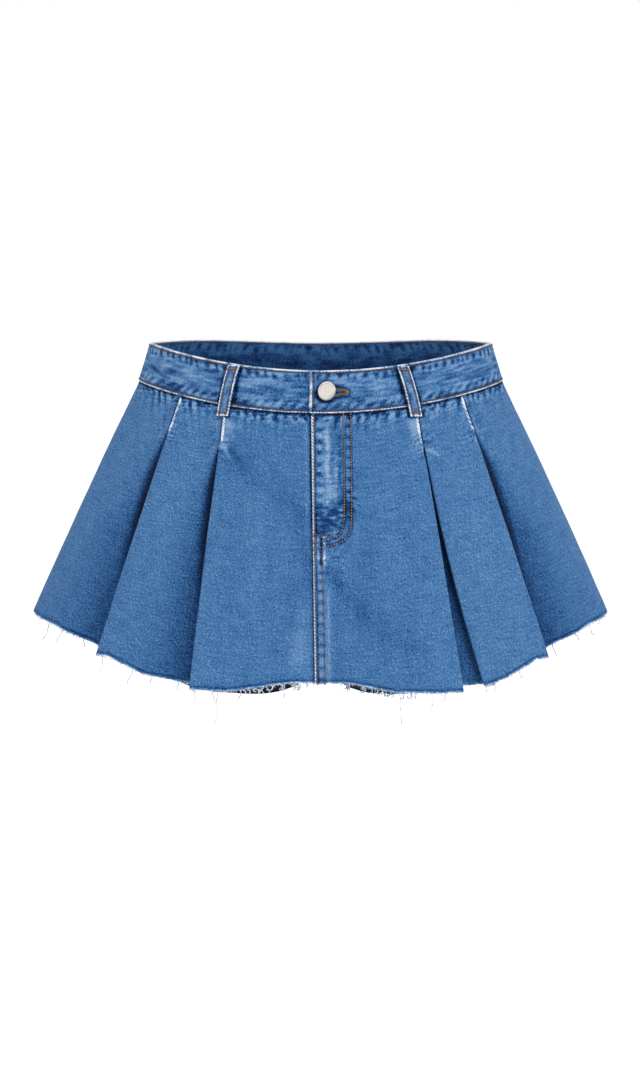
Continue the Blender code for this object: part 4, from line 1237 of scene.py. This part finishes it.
def belt_loop(name, lay, seed):
    from_side = LOOP_WIDTH / 2 - np.abs(lay.across)
    from_end = np.minimum(lay.below, lay.below[-1:] - lay.below)
    thick = LOOP_WALL / 2 * rounded_edge(from_side, LOOP_EDGE_ROUND)
    thick = thick * rounded_edge(from_end, LOOP_EDGE_ROUND)
    from_row = from_side - LOOP_ROW_IN
    thick = thick - 0.00022 * bell(from_row, 0.0006)
    rub = 0.95 + 0.4 * wander(lay.below + lay.across, 0.0035, seed)
    rim = np.maximum(smooth((0.0017 - from_side) / 0.0006),
                     0.9 * smooth((0.0014 - from_end) / 0.0006))
    faded = 0.9 * cloudy(lay.across, lay.below, (0.004, 0.009), seed + 1)
    faded += 0.2 + 0.5 * puckers(lay.below, from_row, 0.0052, 0.002, seed + 2)
    # Painted shade in the stitch rows' grooves and along the loop's sides, and over its inside,
    # which faces the band.
    dark = 0.75 * bell(from_row, 0.0006) + 0.7 * bell(from_side, 0.00025)
    marks = {"faded": faded, "worn": np.clip(rim * rub, 0, 1), "hidden": (dark, 0.6),
             "crumpled": (0.6 * (1 - rim), 0.3), "corded": 0.6 * rim}
    return cloth(name, lay, 1, np.zeros(lay.across.shape), thick, marks, BAND_DENIM)


LOOP_LAYS = {place: loop_lay(*angles) for place, angles in LOOP_ANGLES.items()}
LOOPS = {place: belt_loop("belt_loop_" + place + "_cloth", lay, 81 + number * 5)
         for number, (place, lay) in enumerate(LOOP_LAYS.items())}
for place, loop in LOOPS.items():
    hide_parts("belt_loop_" + place)
    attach(loop, "root")


# ---------------------------------------------------------------- Jeans button
# A warm silver cap with plain turned rings, crimped on a shank that passes the buttonhole;
# its tack's head shows behind the band. The cap leans a little on its shank.
CAP_RADIUS = 0.0085
CAP_TILT = 28.0                # degrees
CAP_LIFT = 0.0050              # the cap's back, off the band's face
SHANK_RADIUS = 0.0026
TACK_POST = 0.0014
TACK_RADIUS = 0.0045
RING_RADII = (0.0011, 0.0026, 0.0042, 0.0058)
RING_WIDTH = 0.00036
RING_DEPTH = 0.00024
FACE_HEIGHT = 0.0022


def warm_silver():
    material, tree, shader = shaded("warm_silver", {"Metallic": 0.7})
    tarnish, scuffs = speckle(tree, 420.0, 4.0), speckle(tree, 2600.0, 2.0)
    level = weighed(tree, 0.5, (tarnish, 1.3, 0.5), (scuffs, 0.5, 0.5))
    coloured(tree, shader, level, (0.42, 0.385, 0.355), (0.62, 0.585, 0.550))
    rough = weighed(tree, 0.42, (scuffs, 0.3, 0.5))
    tree.links.new(rough, shader.inputs["Roughness"])
    raised(tree, shader, scuffs, 0.15, 0.0001)
    return material


def turned(name, profile, steps, material, matrix):
    """A closed turned body. Its profile runs down: (radius, height) from axis to axis."""
    mesh = bmesh.new()
    points = [mesh.verts.new((radius, 0, height)) for radius, height in profile]
    for pair in zip(points, points[1:]):
        mesh.edges.new(pair)
    outline = placed(name, modelled(name, mesh))
    lathe = outline.modifiers.new("turned", "SCREW")
    lathe.steps = lathe.render_steps = steps
    lathe.use_merge_vertices = True
    lathe.merge_threshold = 0.00001
    return made_plain(outline, material, matrix)


def made_plain(source, material, matrix=Matrix.Identity(4)):
    """What an object's modifiers make, as a plain mesh in an object of the same name."""
    name = source.name
    graph = bpy.context.evaluated_depsgraph_get()
    mesh = bpy.data.meshes.new_from_object(source.evaluated_get(graph))
    bpy.data.objects.remove(source)
    mesh.transform(matrix)
    mesh.name = name
    mesh.materials.clear()
    mesh.materials.append(material)
    clean = bmesh.new()
    clean.from_mesh(mesh)
    bmesh.ops.recalc_face_normals(clean, faces=clean.faces)
    clean.to_mesh(mesh)
    clean.free()
    mesh.shade_smooth()
    mesh.set_sharp_from_angle(angle=radians(50))
    return placed(name, mesh)


SILVER = warm_silver()
shank_foot = -BAND_LAP_OUT + BAND_WALL / 2 + GAP
cap_back = BAND_LAP_OUT + BAND_WALL / 2 + CAP_LIFT
cap_matrix = (BUTTON_PLACE @ Matrix.Translation((0, 0, cap_back))
              @ Matrix.Rotation(radians(-CAP_TILT), 4, "Y"))
cap_profile = [(0, FACE_HEIGHT)]
for radius in RING_RADII:     # each ring is a groove turned into the face
    cap_profile += [(radius + RING_WIDTH * part, FACE_HEIGHT - RING_DEPTH * deep)
                    for part, deep in ((-1.2, 0), (-1, 0), (0, 1), (1, 0), (1.2, 0))]
cap_profile += [(0.0064, 0.0024), (0.0070, 0.0024), (0.0077, FACE_HEIGHT), (0.0082, 0.0018),
                (CAP_RADIUS, 0.0012), (CAP_RADIUS, 0.0008), (0.0082, 0.0004), (0.0074, 0),
                (0.0040, 0.0001), (0, 0.0001)]
cap = turned("button_cap", cap_profile, 64, SILVER, cap_matrix)
shank = turned("button_shank", ((0, cap_back + 0.0006), (SHANK_RADIUS, cap_back + 0.0006),
                                (SHANK_RADIUS, cap_back - 0.0010),
                                (SHANK_RADIUS * 0.85, cap_back - 0.0020),
                                (SHANK_RADIUS * 0.85, shank_foot + 0.0006),
                                (SHANK_RADIUS, shank_foot), (0, shank_foot)), 40, SILVER,
               BUTTON_PLACE)
tack_back = -BAND_LAP_OUT - BAND_WALL / 2 - GAP
post_end = -BAND_LAP_OUT + BAND_WALL / 2 - 0.0001
tack = turned("button_tack_head", ((0, post_end), (TACK_POST, post_end), (TACK_POST, tack_back),
                                   (TACK_RADIUS * 0.96, tack_back),
                                   (TACK_RADIUS, tack_back - 0.0003),
                                   (TACK_RADIUS * 0.94, tack_back - 0.0007),
                                   (0.0032, tack_back - 0.0010), (0.0030, tack_back - 0.0008),
                                   (0.0022, tack_back - 0.0008), (0.0012, tack_back - 0.0013),
                                   (0, tack_back - 0.0015)), 48, SILVER, BUTTON_PLACE)
for piece, node in ((cap, "button"), (shank, "button"), (tack, "button_tack")):
    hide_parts(node)
    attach(piece, "root")


# ---------------------------------------------------------------- Topstitching
# Rust-brown thread: two rows round the band, rows beside the fly and down the felled
# seams, a double curve that holds the zip's facing, and orange bars at the loops' ends.
STITCH_PITCH = 0.0025
STITCH_LENGTH = 0.0023
DOT_LENGTH = 0.0017            # the facing's rows, pulled tight
THREAD = 0.0012
THREAD_PROUD = THREAD * 0.22   # a stitch's axis, off the cloth that it lies on
BAR_PITCH = 0.00046
BAR_LENGTH = 0.0016
BAR_THREAD = 0.00055
OFF_BODY = 0.2000              # the planes in front and behind that rows are drawn on
DRAWN_REACH = 0.1400
FINE_STEP = 0.0005


def spun_thread(name, dark, light):
    material, tree, shader = shaded(name, {"Roughness": 0.62, "Specular IOR Level": 0.3})
    dye, ply = speckle(tree, 230.0, 3.0), speckle(tree, 2500.0, 2.0)
    coloured(tree, shader, weighed(tree, 0.5, (dye, 1.6, 0.5), (ply, 0.9, 0.5)), dark, light)
    raised(tree, shader, ply, 0.5, 0.0001)
    return material


RUST_THREAD = spun_thread("rust_thread", (0.055, 0.026, 0.016), (0.240, 0.120, 0.060))
GOLD_THREAD = spun_thread("gold_thread", (0.120, 0.080, 0.040), (0.500, 0.350, 0.160))
ORANGE_THREAD = spun_thread("orange_thread", (0.130, 0.050, 0.018), (0.480, 0.210, 0.065))
BROWN_THREAD = spun_thread("brown_thread", (0.070, 0.032, 0.016), (0.360, 0.190, 0.085))
NAVY_THREAD = spun_thread("navy_thread", (0.006, 0.009, 0.020), (0.030, 0.042, 0.080))


def growing_tree(name, given, result):
    """A new tree of nodes with named inputs and one result."""
    tree = bpy.data.node_groups.new(name, "GeometryNodeTree")
    for socket, kind in given:
        tree.interface.new_socket(socket, in_out="INPUT", socket_type="NodeSocket" + kind)
    tree.interface.new_socket(result, in_out="OUTPUT", socket_type="NodeSocketGeometry")
    return tree, tree.nodes.new("NodeGroupInput").outputs


def set_along(tree, line, pitch, placing, material):
    """Puts something at even steps along a line, as real faces, and gives the result."""
    curve = add_node(tree, "GeometryNodeMeshToCurve", {}, {"Mesh": line})
    steps = add_node(tree, "GeometryNodeResampleCurve", {"mode": "LENGTH"},
                     {"Curve": curve.outputs[0], "Length": pitch})
    row = add_node(tree, "GeometryNodeInstanceOnPoints", {},
                   {"Points": steps.outputs[0], **placing})
    real = add_node(tree, "GeometryNodeRealizeInstances", {}, {0: row.outputs[0]})
    done = add_node(tree, "GeometryNodeSetMaterial", {},
                    {"Geometry": real.outputs[0], "Material": material})
    tree.links.new(done.outputs[0], tree.nodes.new("NodeGroupOutput").inputs[0])
    return tree


def stitch_tree():
    """Stitches end to end along a path, each lying on the cloth that it is drawn on."""
    tree, given = growing_tree("stitches", (
        ("Path", "Geometry"), ("Pitch", "Float"), ("Length", "Float"), ("Thickness", "Float"),
        ("Turn", "Float"), ("Thread", "Material")), "Stitches")
    away = add_node(tree, "GeometryNodeInputNamedAttribute", {"data_type": "FLOAT_VECTOR"},
                    {"Name": "away"})
    ahead = add_node(tree, "GeometryNodeInputTangent")
    lie = add_node(tree, "FunctionNodeAxesToRotation",
                   {"primary_axis": "Z", "secondary_axis": "X"},
                   {"Primary Axis": away.outputs[0], "Secondary Axis": ahead.outputs[0]})
    twist = add_node(tree, "FunctionNodeAxisAngleToRotation", {},
                     {"Axis": (0, 0, 1), "Angle": given["Turn"]})
    turned_to = add_node(tree, "FunctionNodeRotateRotation", {"rotation_space": "LOCAL"},
                         {0: lie.outputs[0], 1: twist.outputs[0]})
    size = add_node(tree, "ShaderNodeCombineXYZ", {},
                    {"X": given["Length"], "Y": given["Thickness"], "Z": given["Thickness"]})
    stitch = add_node(tree, "GeometryNodeMeshUVSphere", {},
                      {"Segments": 6, "Rings": 5, "Radius": 0.5})
    return set_along(tree, given["Path"], given["Pitch"],
                     {"Instance": stitch.outputs["Mesh"], "Rotation": turned_to.outputs[0],
                      "Scale": size.outputs[0]}, given["Thread"])


STITCHES = stitch_tree()


def path_object(name, runs):
    """One mesh of open paths. Each run is its points and the directions off the cloth."""
    mesh = bpy.data.meshes.new(name)
    edges = []
    start = 0
    for points, _ in runs:
        edges += [(start + step, start + step + 1) for step in range(len(points) - 1)]
        start += len(points)
    mesh.from_pydata(np.concatenate([run[0] for run in runs]).tolist(), edges, [])
    mesh.attributes.new("away", "FLOAT_VECTOR", "POINT").data.foreach_set(
        "vector", np.concatenate([run[1] for run in runs]).astype(np.float32).ravel())
    return placed(name, mesh)


def grown(name, runs, tree, material, settings):
    """What a tree of nodes makes along the runs, as a plain piece that rides along."""
    path = path_object(name, runs)
    maker = path.modifiers.new("maker", "NODES")
    maker.node_group = tree
    sockets = {item.name: item.identifier for item in tree.interface.items_tree
               if item.in_out == "INPUT"}
    for setting, value in settings.items():
        maker[sockets[setting]] = value
    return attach(made_plain(path, material), "root")


def stitched(name, runs, thread, pitch=STITCH_PITCH, length=STITCH_LENGTH, turn_by=0.0,
             thickness=THREAD):
    settings = {"Pitch": pitch, "Length": length, "Thickness": thickness, "Turn": turn_by,
                "Thread": thread}
    return grown(name, runs, STITCHES, thread, settings)


def face_of(*pieces):
    """The pieces' faces, ready to lay paths on."""
    points, faces = [], []
    for piece in pieces:
        start = len(points)
        points += [vertex.co for vertex in piece.data.vertices]
        faces += [[start + corner_at for corner_at in face.vertices]
                  for face in piece.data.polygons]
    return BVHTree.FromPolygons(points, faces)


def laid(surface, points, away, reach=0.006):
    """The points moved onto a surface, met from outside, and the directions off it."""
    found, normals = [], []
    for point, direction in zip(points, np.broadcast_to(away, np.shape(points))):
        outward = Vector(direction).normalized()
        hit, normal, _, _ = surface.ray_cast(Vector(point) + outward * reach, -outward,
                                             2 * reach)
        if hit is not None:
            found.append(hit + normal * THREAD_PROUD)
            normals.append(normal)
    return np.array(found), np.array(normals)


def finely(points, step=0.0012):
    """The same open path with a point every `step` or so."""
    points = np.asarray(points, dtype=float)
    length = run_places(points)[-1]
    return at_places(points, np.linspace(0, length, max(2, ceil(length / step) + 1)))


def facing_run(surface, drawing, outward):
    """A path drawn as (x, z) on the front (-1) or the back (1), laid on the cloth there."""
    flat = finely(drawing)
    points = np.stack((flat[:, 0], np.full(len(flat), OFF_BODY * outward), flat[:, 1]), axis=-1)
    return laid(surface, points, (0, outward, 0), reach=DRAWN_REACH)


FRONT_FACE = face_of(PANELS["front_panel_left"].piece, PANELS["front_panel_right"].piece)
edge_row = ((-0.0060, DRAWN_FROM), (-0.0057, -0.1350), (-0.0053, -0.1760), (-0.0049, -0.2100),
            (-0.0031, -0.2860))
inner_row = ((0.0008, -0.1770), (0.0020, -0.2100), (0.0034, -0.2860))
short_row = ((-0.0058, -0.1637), (0.0068, -0.1632))
stitched("fly_stitching", [facing_run(FRONT_FACE, row, -1)
                           for row in (edge_row, inner_row, short_row)], RUST_THREAD)
stitched("facing_stitching", [facing_run(FRONT_FACE, row, -1) for row in (facing_row, outer_row)],
         GOLD_THREAD, length=DOT_LENGTH)
BACK_FACE = face_of(PANELS["back_panel_left"].piece, PANELS["back_panel_right"].piece)
stitched("back_seam_stitching", [facing_run(BACK_FACE, ((x, -0.0375), (x, -0.2615)), 1)
                                 for x in (0.0018, 0.0086)], RUST_THREAD)
BAND_FACE = face_of(band_left, band_right)


def band_run(half, face):
    """Once round a half, in from its edges; face is 1 outside and -1 inside the band."""
    inset = BAND_ROW_IN / BAND_HEIGHT
    start = asin(-half.end_x / TOP_HALF_WIDTH) + BAND_END_ROW / TOP_HALF_WIDTH
    angles = np.linspace(pi - 0.002, start, 330)
    low = np.stack((angles, np.full(len(angles), 1 - inset)), axis=-1)
    corner_low = [(start + 0.006, 1 - inset), (start, 1 - inset - 0.03)]
    corner_high = [(start, inset + 0.05), (start + 0.008, inset)]
    high = np.stack((angles[::-1], np.full(len(angles), inset)), axis=-1)
    run = np.concatenate((low[:-3], corner_low, corner_high, high[3:]))
    run = finely(run * (TOP_HALF_WIDTH, BAND_HEIGHT)) / (TOP_HALF_WIDTH, BAND_HEIGHT)
    shift = lap_shift(run[:, 0], half)
    points = band_point(run[:, 0], run[:, 1], shift)
    beyond = band_point(run[:, 0], run[:, 1], shift + face * 0.01)
    for place in (points, beyond):
        place[:, 0] *= half.hand
    return laid(BAND_FACE, points, beyond - points, reach=0.0022)


stitched("waistband_stitching", [band_run(half, face) for half in (LEFT_HALF, RIGHT_HALF)
                                 for face in (1, -1)], RUST_THREAD)

loop_runs, bar_runs = [], []
for place, lay in LOOP_LAYS.items():
    surface = face_of(LOOPS[place])
    for side in (-1, 1):
        column = np.argmin(np.abs(lay.across[0] - side * (LOOP_WIDTH / 2 - LOOP_ROW_IN)))
        inner = slice(4, -4)
        loop_runs.append(laid(surface, lay.middle[inner, column], lay.away[inner, column]))
    for row in (7, -8):
        bar_runs.append(laid(surface, finely(lay.middle[row, 3:-3], FINE_STEP),
                             lay.away[row, 3]))
stitched("belt_loop_stitching", loop_runs, RUST_THREAD)
stitched("belt_loop_bars", bar_runs, ORANGE_THREAD, BAR_PITCH, BAR_LENGTH, radians(82),
         BAR_THREAD)

stitched("fly_bars", [facing_run(FRONT_FACE, ((-0.0062, z - 0.0008), (-0.0044, z + 0.0008)), -1)
                      for z in (-0.1640, -0.1704, -0.1752)], ORANGE_THREAD, BAR_PITCH,
         BAR_LENGTH, radians(90), BAR_THREAD)


def on_button_place(points):
    """Points drawn on the band's face round the button, laid on the cloth there."""
    places = [BUTTON_PLACE @ Vector((x, z, BAND_LAP_OUT + BAND_WALL / 2)) for x, z in points]
    return laid(BAND_FACE, places, BUTTON_PLACE.to_3x3() @ Vector((0, 0, 1)), reach=0.0015)


def buttonhole_run(half_height, start_x, end_x):
    """A narrowing loop round the slit, drawn on the band's face beside the button."""
    upper = [(start_x, half_height), (start_x + 0.003, half_height),
             (blend(start_x, end_x, 0.6), half_height * 0.66), (end_x, half_height * 0.30)]
    outline = upper + [(x, -z) for x, z in upper[::-1]]
    return on_button_place(finely(eased(outline, 2), FINE_STEP))


stitched("buttonhole_stitching", [buttonhole_run(0.0031, 0.0040, BUTTONHOLE_LENGTH + 0.0012)],
         BROWN_THREAD, BAR_PITCH, 0.0021, radians(75), 0.0010)
bar_points = [(BUTTONHOLE_LENGTH + 0.0018, z) for z in np.linspace(-0.0015, 0.0015, 12)]
stitched("buttonhole_bar", [on_button_place(bar_points)], BROWN_THREAD, BAR_PITCH,
         0.0026, radians(90), BAR_THREAD)

hem_runs = []
for hand, piece in LEGS.items():
    lay = lay_of(shorts_middle(hand), hand)
    row = np.argmin(np.abs(lay.below[-1].mean() - lay.below.mean(axis=1) - SHORTS_ROW_UP))
    hem_runs.append(laid(face_of(piece), lay.middle[row, 3:-3], lay.away[row, 3:-3]))
stitched("shorts_hem_stitching", hem_runs, NAVY_THREAD)


# ---------------------------------------------------------------- Raw hem
# The cut edge of the denim, unravelled by washing: short pale weft ends all along it, curls
# of loose yarn, and a few long threads that hang free.
YARN_PITCH = 0.0006
YARN = 0.00028
CURL_YARN = 0.00050
LONG_YARN = 0.00038
YARN_SEED = 5
# Long threads on each panel: x at the hem, how far they hang and drift sideways.
LongThread = namedtuple("LongThread", "x length drift")
LEFT_THREADS = in_tenths(LongThread, 3,
    (130, 90, 10), (280, 120, -20), (420, 80, 30), (700, 290, -10), (745, 120, 20),
    (900, 160, 10), (1090, 80, -30), (1420, 180, 40), (1530, 100, 10), (1760, 90, 30),
    (2110, 130, 40), (2330, 70, 20), (2480, 110, 50), (2600, 60, 20))
RIGHT_THREADS = in_tenths(LongThread, 3,
    (160, 70, -10), (330, 130, 20), (480, 70, -20), (640, 100, 20), (840, 300, 10),
    (875, 120, -20), (1080, 140, 30), (1250, 90, 20), (1470, 70, 30), (1650, 150, 50),
    (1930, 170, 40), (2160, 90, 20), (2370, 130, 50), (2520, 180, 70))
BACK_THREADS = in_tenths(LongThread, 3,
    (120, 100, 20), (400, 160, -20), (750, 80, 20), (980, 140, 30), (1350, 90, -20),
    (1700, 130, 40), (2050, 100, 30), (2400, 120, 40))


def loose_yarn():
    """Pale weft and a little of the blue warp."""
    material, tree, shader = shaded("loose_yarn", {"Roughness": 0.9, "Specular IOR Level": 0.15})
    dye = speckle(tree, 160.0, 3.0)
    coloured(tree, shader, weighed(tree, 0.52, (dye, 3.4, 0.5)), (0.16, 0.27, 0.42),
             (0.84, 0.85, 0.88))
    return material


YARN_WHITE = loose_yarn()


def yarn_tube(mesh, line, radius):
    """A thin closed four-sided thread through the points of a line."""
    line = np.asarray(line, dtype=float)
    ahead = np.gradient(line, axis=0)
    side = np.cross(ahead, (0.31, 0.9, 0.17))
    side /= np.linalg.norm(side, axis=1, keepdims=True)
    other = np.cross(ahead, side)
    other /= np.linalg.norm(other, axis=1, keepdims=True)
    rings = []
    for place, (point, a, b) in enumerate(zip(line, side, other)):
        thin = radius * (1.0 if place < len(line) - 1 else 0.4)
        rings.append([mesh.verts.new(point + (a * cos(turn_to) + b * sin(turn_to)) * thin)
                      for turn_to in (0, pi / 2, pi, 3 * pi / 2)])
    for upper, lower in zip(rings, rings[1:]):
        for step in range(4):
            mesh.faces.new((upper[step], upper[step - 1], lower[step - 1], lower[step]))
    mesh.faces.new(rings[0])
    mesh.faces.new(rings[-1][::-1])


def yarn_end(name, length, curl, sway):
    """One loose end, hanging from the origin: a wavy thread of six short lengths."""
    mesh = bmesh.new()
    line = [(sway * share * length + curl * sin(share * 4.4), curl * cos(share * 3.7) - curl,
             -share * length + (curl * 1.5 if share > 0.8 else 0.0))
            for share in np.linspace(0, 1, 7)]
    yarn_tube(mesh, line, YARN)
    return bpy.data.objects.new(name, modelled(name, mesh))


LOOSE_ENDS = bpy.data.collections.new("loose_ends")
bpy.context.scene.collection.children.link(LOOSE_ENDS)
for number, (length, curl, sway) in enumerate((
        (0.0024, 0.0003, 0.15), (0.0030, 0.0006, -0.20), (0.0036, 0.0004, 0.30),
        (0.0020, 0.0008, -0.40), (0.0042, 0.0009, 0.10), (0.0028, 0.0005, 0.60))):
    LOOSE_ENDS.objects.link(yarn_end("loose_end_" + str(number), length, curl, sway))


def fringe_tree():
    """Loose ends along an edge, each of a random kind, size and lean."""
    tree, given = growing_tree("raw_edge", (
        ("Edge", "Geometry"), ("Pitch", "Float"), ("Shortest", "Float"), ("Longest", "Float"),
        ("Lean", "Float"), ("Seed", "Int"), ("Ends", "Collection"), ("Yarn", "Material")),
        "Fringe")
    ends = add_node(tree, "GeometryNodeCollectionInfo", {},
                    {"Collection": given["Ends"], "Separate Children": True,
                     "Reset Children": True})
    back = maths(tree, "MULTIPLY", given["Lean"], -1.0)
    low = add_node(tree, "ShaderNodeCombineXYZ", {}, {"X": back, "Y": back, "Z": -pi})
    high = add_node(tree, "ShaderNodeCombineXYZ", {},
                    {"X": given["Lean"], "Y": given["Lean"], "Z": pi})
    lean = add_node(tree, "FunctionNodeRandomValue", {"data_type": "FLOAT_VECTOR"},
                    {0: low.outputs[0], 1: high.outputs[0], "Seed": given["Seed"]})
    size = add_node(tree, "FunctionNodeRandomValue", {"data_type": "FLOAT"},
                    {2: given["Shortest"], 3: given["Longest"], "Seed": given["Seed"]})
    kind = add_node(tree, "FunctionNodeRandomValue", {"data_type": "INT"},
                    {4: 0, 5: 5, "Seed": given["Seed"]})
    return set_along(tree, given["Edge"], given["Pitch"],
                     {"Instance": ends.outputs[0], "Pick Instance": True,
                      "Instance Index": kind.outputs[2], "Rotation": lean.outputs[0],
                      "Scale": size.outputs[1]}, given["Yarn"])


RAW_EDGE = fringe_tree()

# Curls of yarn that hang on the front hem, beside the centre: which side, x, size, turns
# and how far they run sideways.
Curl = namedtuple("Curl", "hand x size turns run")
HEM_CURLS = tuple(
    Curl(hand, start + 0.0046 * step + 0.0012 * sin(2.3 * step + hand),
         0.0015 + 0.0007 * sin(1.7 * step + hand), 0.8 + 0.6 * abs(sin(1.1 * step)),
         0.0003 * sin(2.9 * step))
    for hand, start, count in ((-1, 0.0120, 12), (1, 0.0170, 14)) for step in range(count))


def raw_hem(name, panel, threads, seed):
    """The loose yarn of one panel's hem: short ends and long threads in one piece."""
    hand = panel.hand
    middle = panel_middle(panel.columns, hand, panel.facing)[-1]
    edge = finely(middle, 0.002)
    away = np.broadcast_to((0.0, 0.0, -1.0), edge.shape)
    fringe = grown(name, [(edge, away)], RAW_EDGE, YARN_WHITE,
                   {"Pitch": YARN_PITCH, "Shortest": 0.25, "Longest": 0.85, "Lean": 0.8,
                    "Seed": seed, "Ends": LOOSE_ENDS, "Yarn": YARN_WHITE})
    mesh = bmesh.new()
    mesh.from_mesh(fringe.data)
    outermost = middle[:, 1] * (1.0 if panel.facing == "back" else -1.0)
    for number, thread in enumerate(threads):
        near = np.abs(middle[:, 0] * hand - thread.x) < 0.004
        root = middle[np.argmax(np.where(near, outermost, -1.0))]
        share = np.linspace(0, 1, 14)
        sway = np.array((wander(share, 0.35, seed + number), wander(share, 0.3, seed - number)))
        line = np.stack((root[0] + hand * thread.drift * share ** 1.5
                         + 0.0022 * sway[0] * share,
                         root[1] + 0.0018 * sway[1] * share,
                         root[2] + 0.0006 - thread.length * share), axis=-1)
        yarn_tube(mesh, line, LONG_YARN)
    for number, curl in enumerate(HEM_CURLS if panel.facing == "front" else ()):
        near = np.abs(middle[:, 0] * hand - curl.x) < 0.003
        if curl.hand != hand or not near.any():
            continue
        root = middle[np.argmax(np.where(near, outermost, -1.0))]
        turn_to = np.linspace(0, curl.turns * 2 * pi, 22)
        size = curl.size * (1.0 - 0.35 * turn_to / turn_to[-1])
        line = np.stack((root[0] + size * np.sin(turn_to + number) + curl.run * turn_to,
                         root[1] - 0.0012 - 0.0006 * np.sin(turn_to * 0.7),
                         root[2] - 0.0008 + size * np.cos(turn_to + number)
                         - 0.0005 * turn_to), axis=-1)
        yarn_tube(mesh, line, CURL_YARN)
    mesh.to_mesh(fringe.data)
    mesh.free()
    return fringe


# Each panel's loose yarn, and its cut laid flat: width at the hem, length and area.
for node, name, threads, seed, cut, area in (
        ("front_panel_left", "front_left_fringe", LEFT_THREADS, YARN_SEED,
         (0.4465, 0.2546), 0.0925),
        ("front_panel_right", "front_right_fringe", RIGHT_THREADS, YARN_SEED + 40,
         (0.4205, 0.2520), 0.0880),
        ("back_panel_left", "back_left_fringe", BACK_THREADS, YARN_SEED + 80,
         (0.4085, 0.2460), 0.0826),
        ("back_panel_right", "back_right_fringe", BACK_THREADS[::-1], YARN_SEED + 120,
         (0.4085, 0.2460), 0.0826)):
    fringe = raw_hem(name, PANELS[node], threads, seed)
for loose_end in list(LOOSE_ENDS.objects):
    bpy.data.objects.remove(loose_end)
bpy.data.collections.remove(LOOSE_ENDS)


# ---------------------------------------------------------------- Studio
# A pale floor a waist's height below, a white surround, one large soft light high on the
# left, a weaker one on the right, and one behind.
FLOOR_DROP = 1.0


def white_surround():
    world = bpy.data.worlds.new("white_surround")
    world.use_nodes = True
    tree = world.node_tree
    tree.nodes.clear()
    ray = add_node(tree, "ShaderNodeLightPath")
    seen = maths(tree, "MAXIMUM", ray.outputs["Is Camera Ray"], ray.outputs["Is Glossy Ray"])
    seen = maths(tree, "MAXIMUM", seen, ray.outputs["Is Transmission Ray"])
    glow, white = (add_node(tree, "ShaderNodeBackground", {},
                            {"Color": (1, 1, 1, 1), "Strength": strength}).outputs[0]
                   for strength in (0.50, 1.0))
    both = add_node(tree, "ShaderNodeMixShader", {}, {0: seen, 1: glow, 2: white})
    end = tree.nodes.new("ShaderNodeOutputWorld")
    tree.links.new(both.outputs[0], end.inputs["Surface"])
    return world


def pale_floor():
    material, tree, shader = shaded("pale_floor", {
        "Base Color": (0.92, 0.92, 0.92, 1.0), "Roughness": 0.9, "Specular IOR Level": 0.1,
        "Emission Color": (1, 1, 1, 1)})
    ray = add_node(tree, "ShaderNodeLightPath")
    lit = maths(tree, "MULTIPLY", ray.outputs["Is Camera Ray"], 0.62)
    tree.links.new(lit, shader.inputs["Emission Strength"])
    return material


bpy.context.scene.world = white_surround()
floor_mesh = bmesh.new()
bmesh.ops.create_grid(floor_mesh, x_segments=1, y_segments=1, size=200.0)
floor_data = modelled("floor", floor_mesh, Matrix.Translation((0, 0, -FLOOR_DROP)))
floor_data.materials.append(pale_floor())
placed("floor", floor_data)

Lamp = namedtuple("Lamp", "name x y z size power")
for lamp in (Lamp("key", 2.0, -1.8, 1.3, 1.8, 46.0), Lamp("fill", -1.9, -1.6, 0.9, 1.8, 26.0),
             Lamp("rear", 0.5, 2.2, 1.4, 1.6, 26.0)):
    light = bpy.data.lights.new(lamp.name, "AREA")
    light.size = lamp.size
    light.energy = lamp.power
    source = placed(lamp.name, light)
    source.location = (lamp.x, lamp.y, lamp.z)
    aim = Vector((0, 0, -0.16)) - source.location
    source.rotation_euler = aim.to_track_quat("-Z", "Y").to_euler()

lens = bpy.data.cameras.new("camera")
lens.lens = 50.0
lens.sensor_fit = "VERTICAL"
lens.sensor_height = 36.0
camera = placed("camera", lens)
camera.location = (-0.0007, -1.4, -0.0007)
camera.rotation_euler = (radians(82.67), 0, 0)
bpy.context.scene.camera = camera
bpy.context.scene.view_settings.view_transform = "Standard"
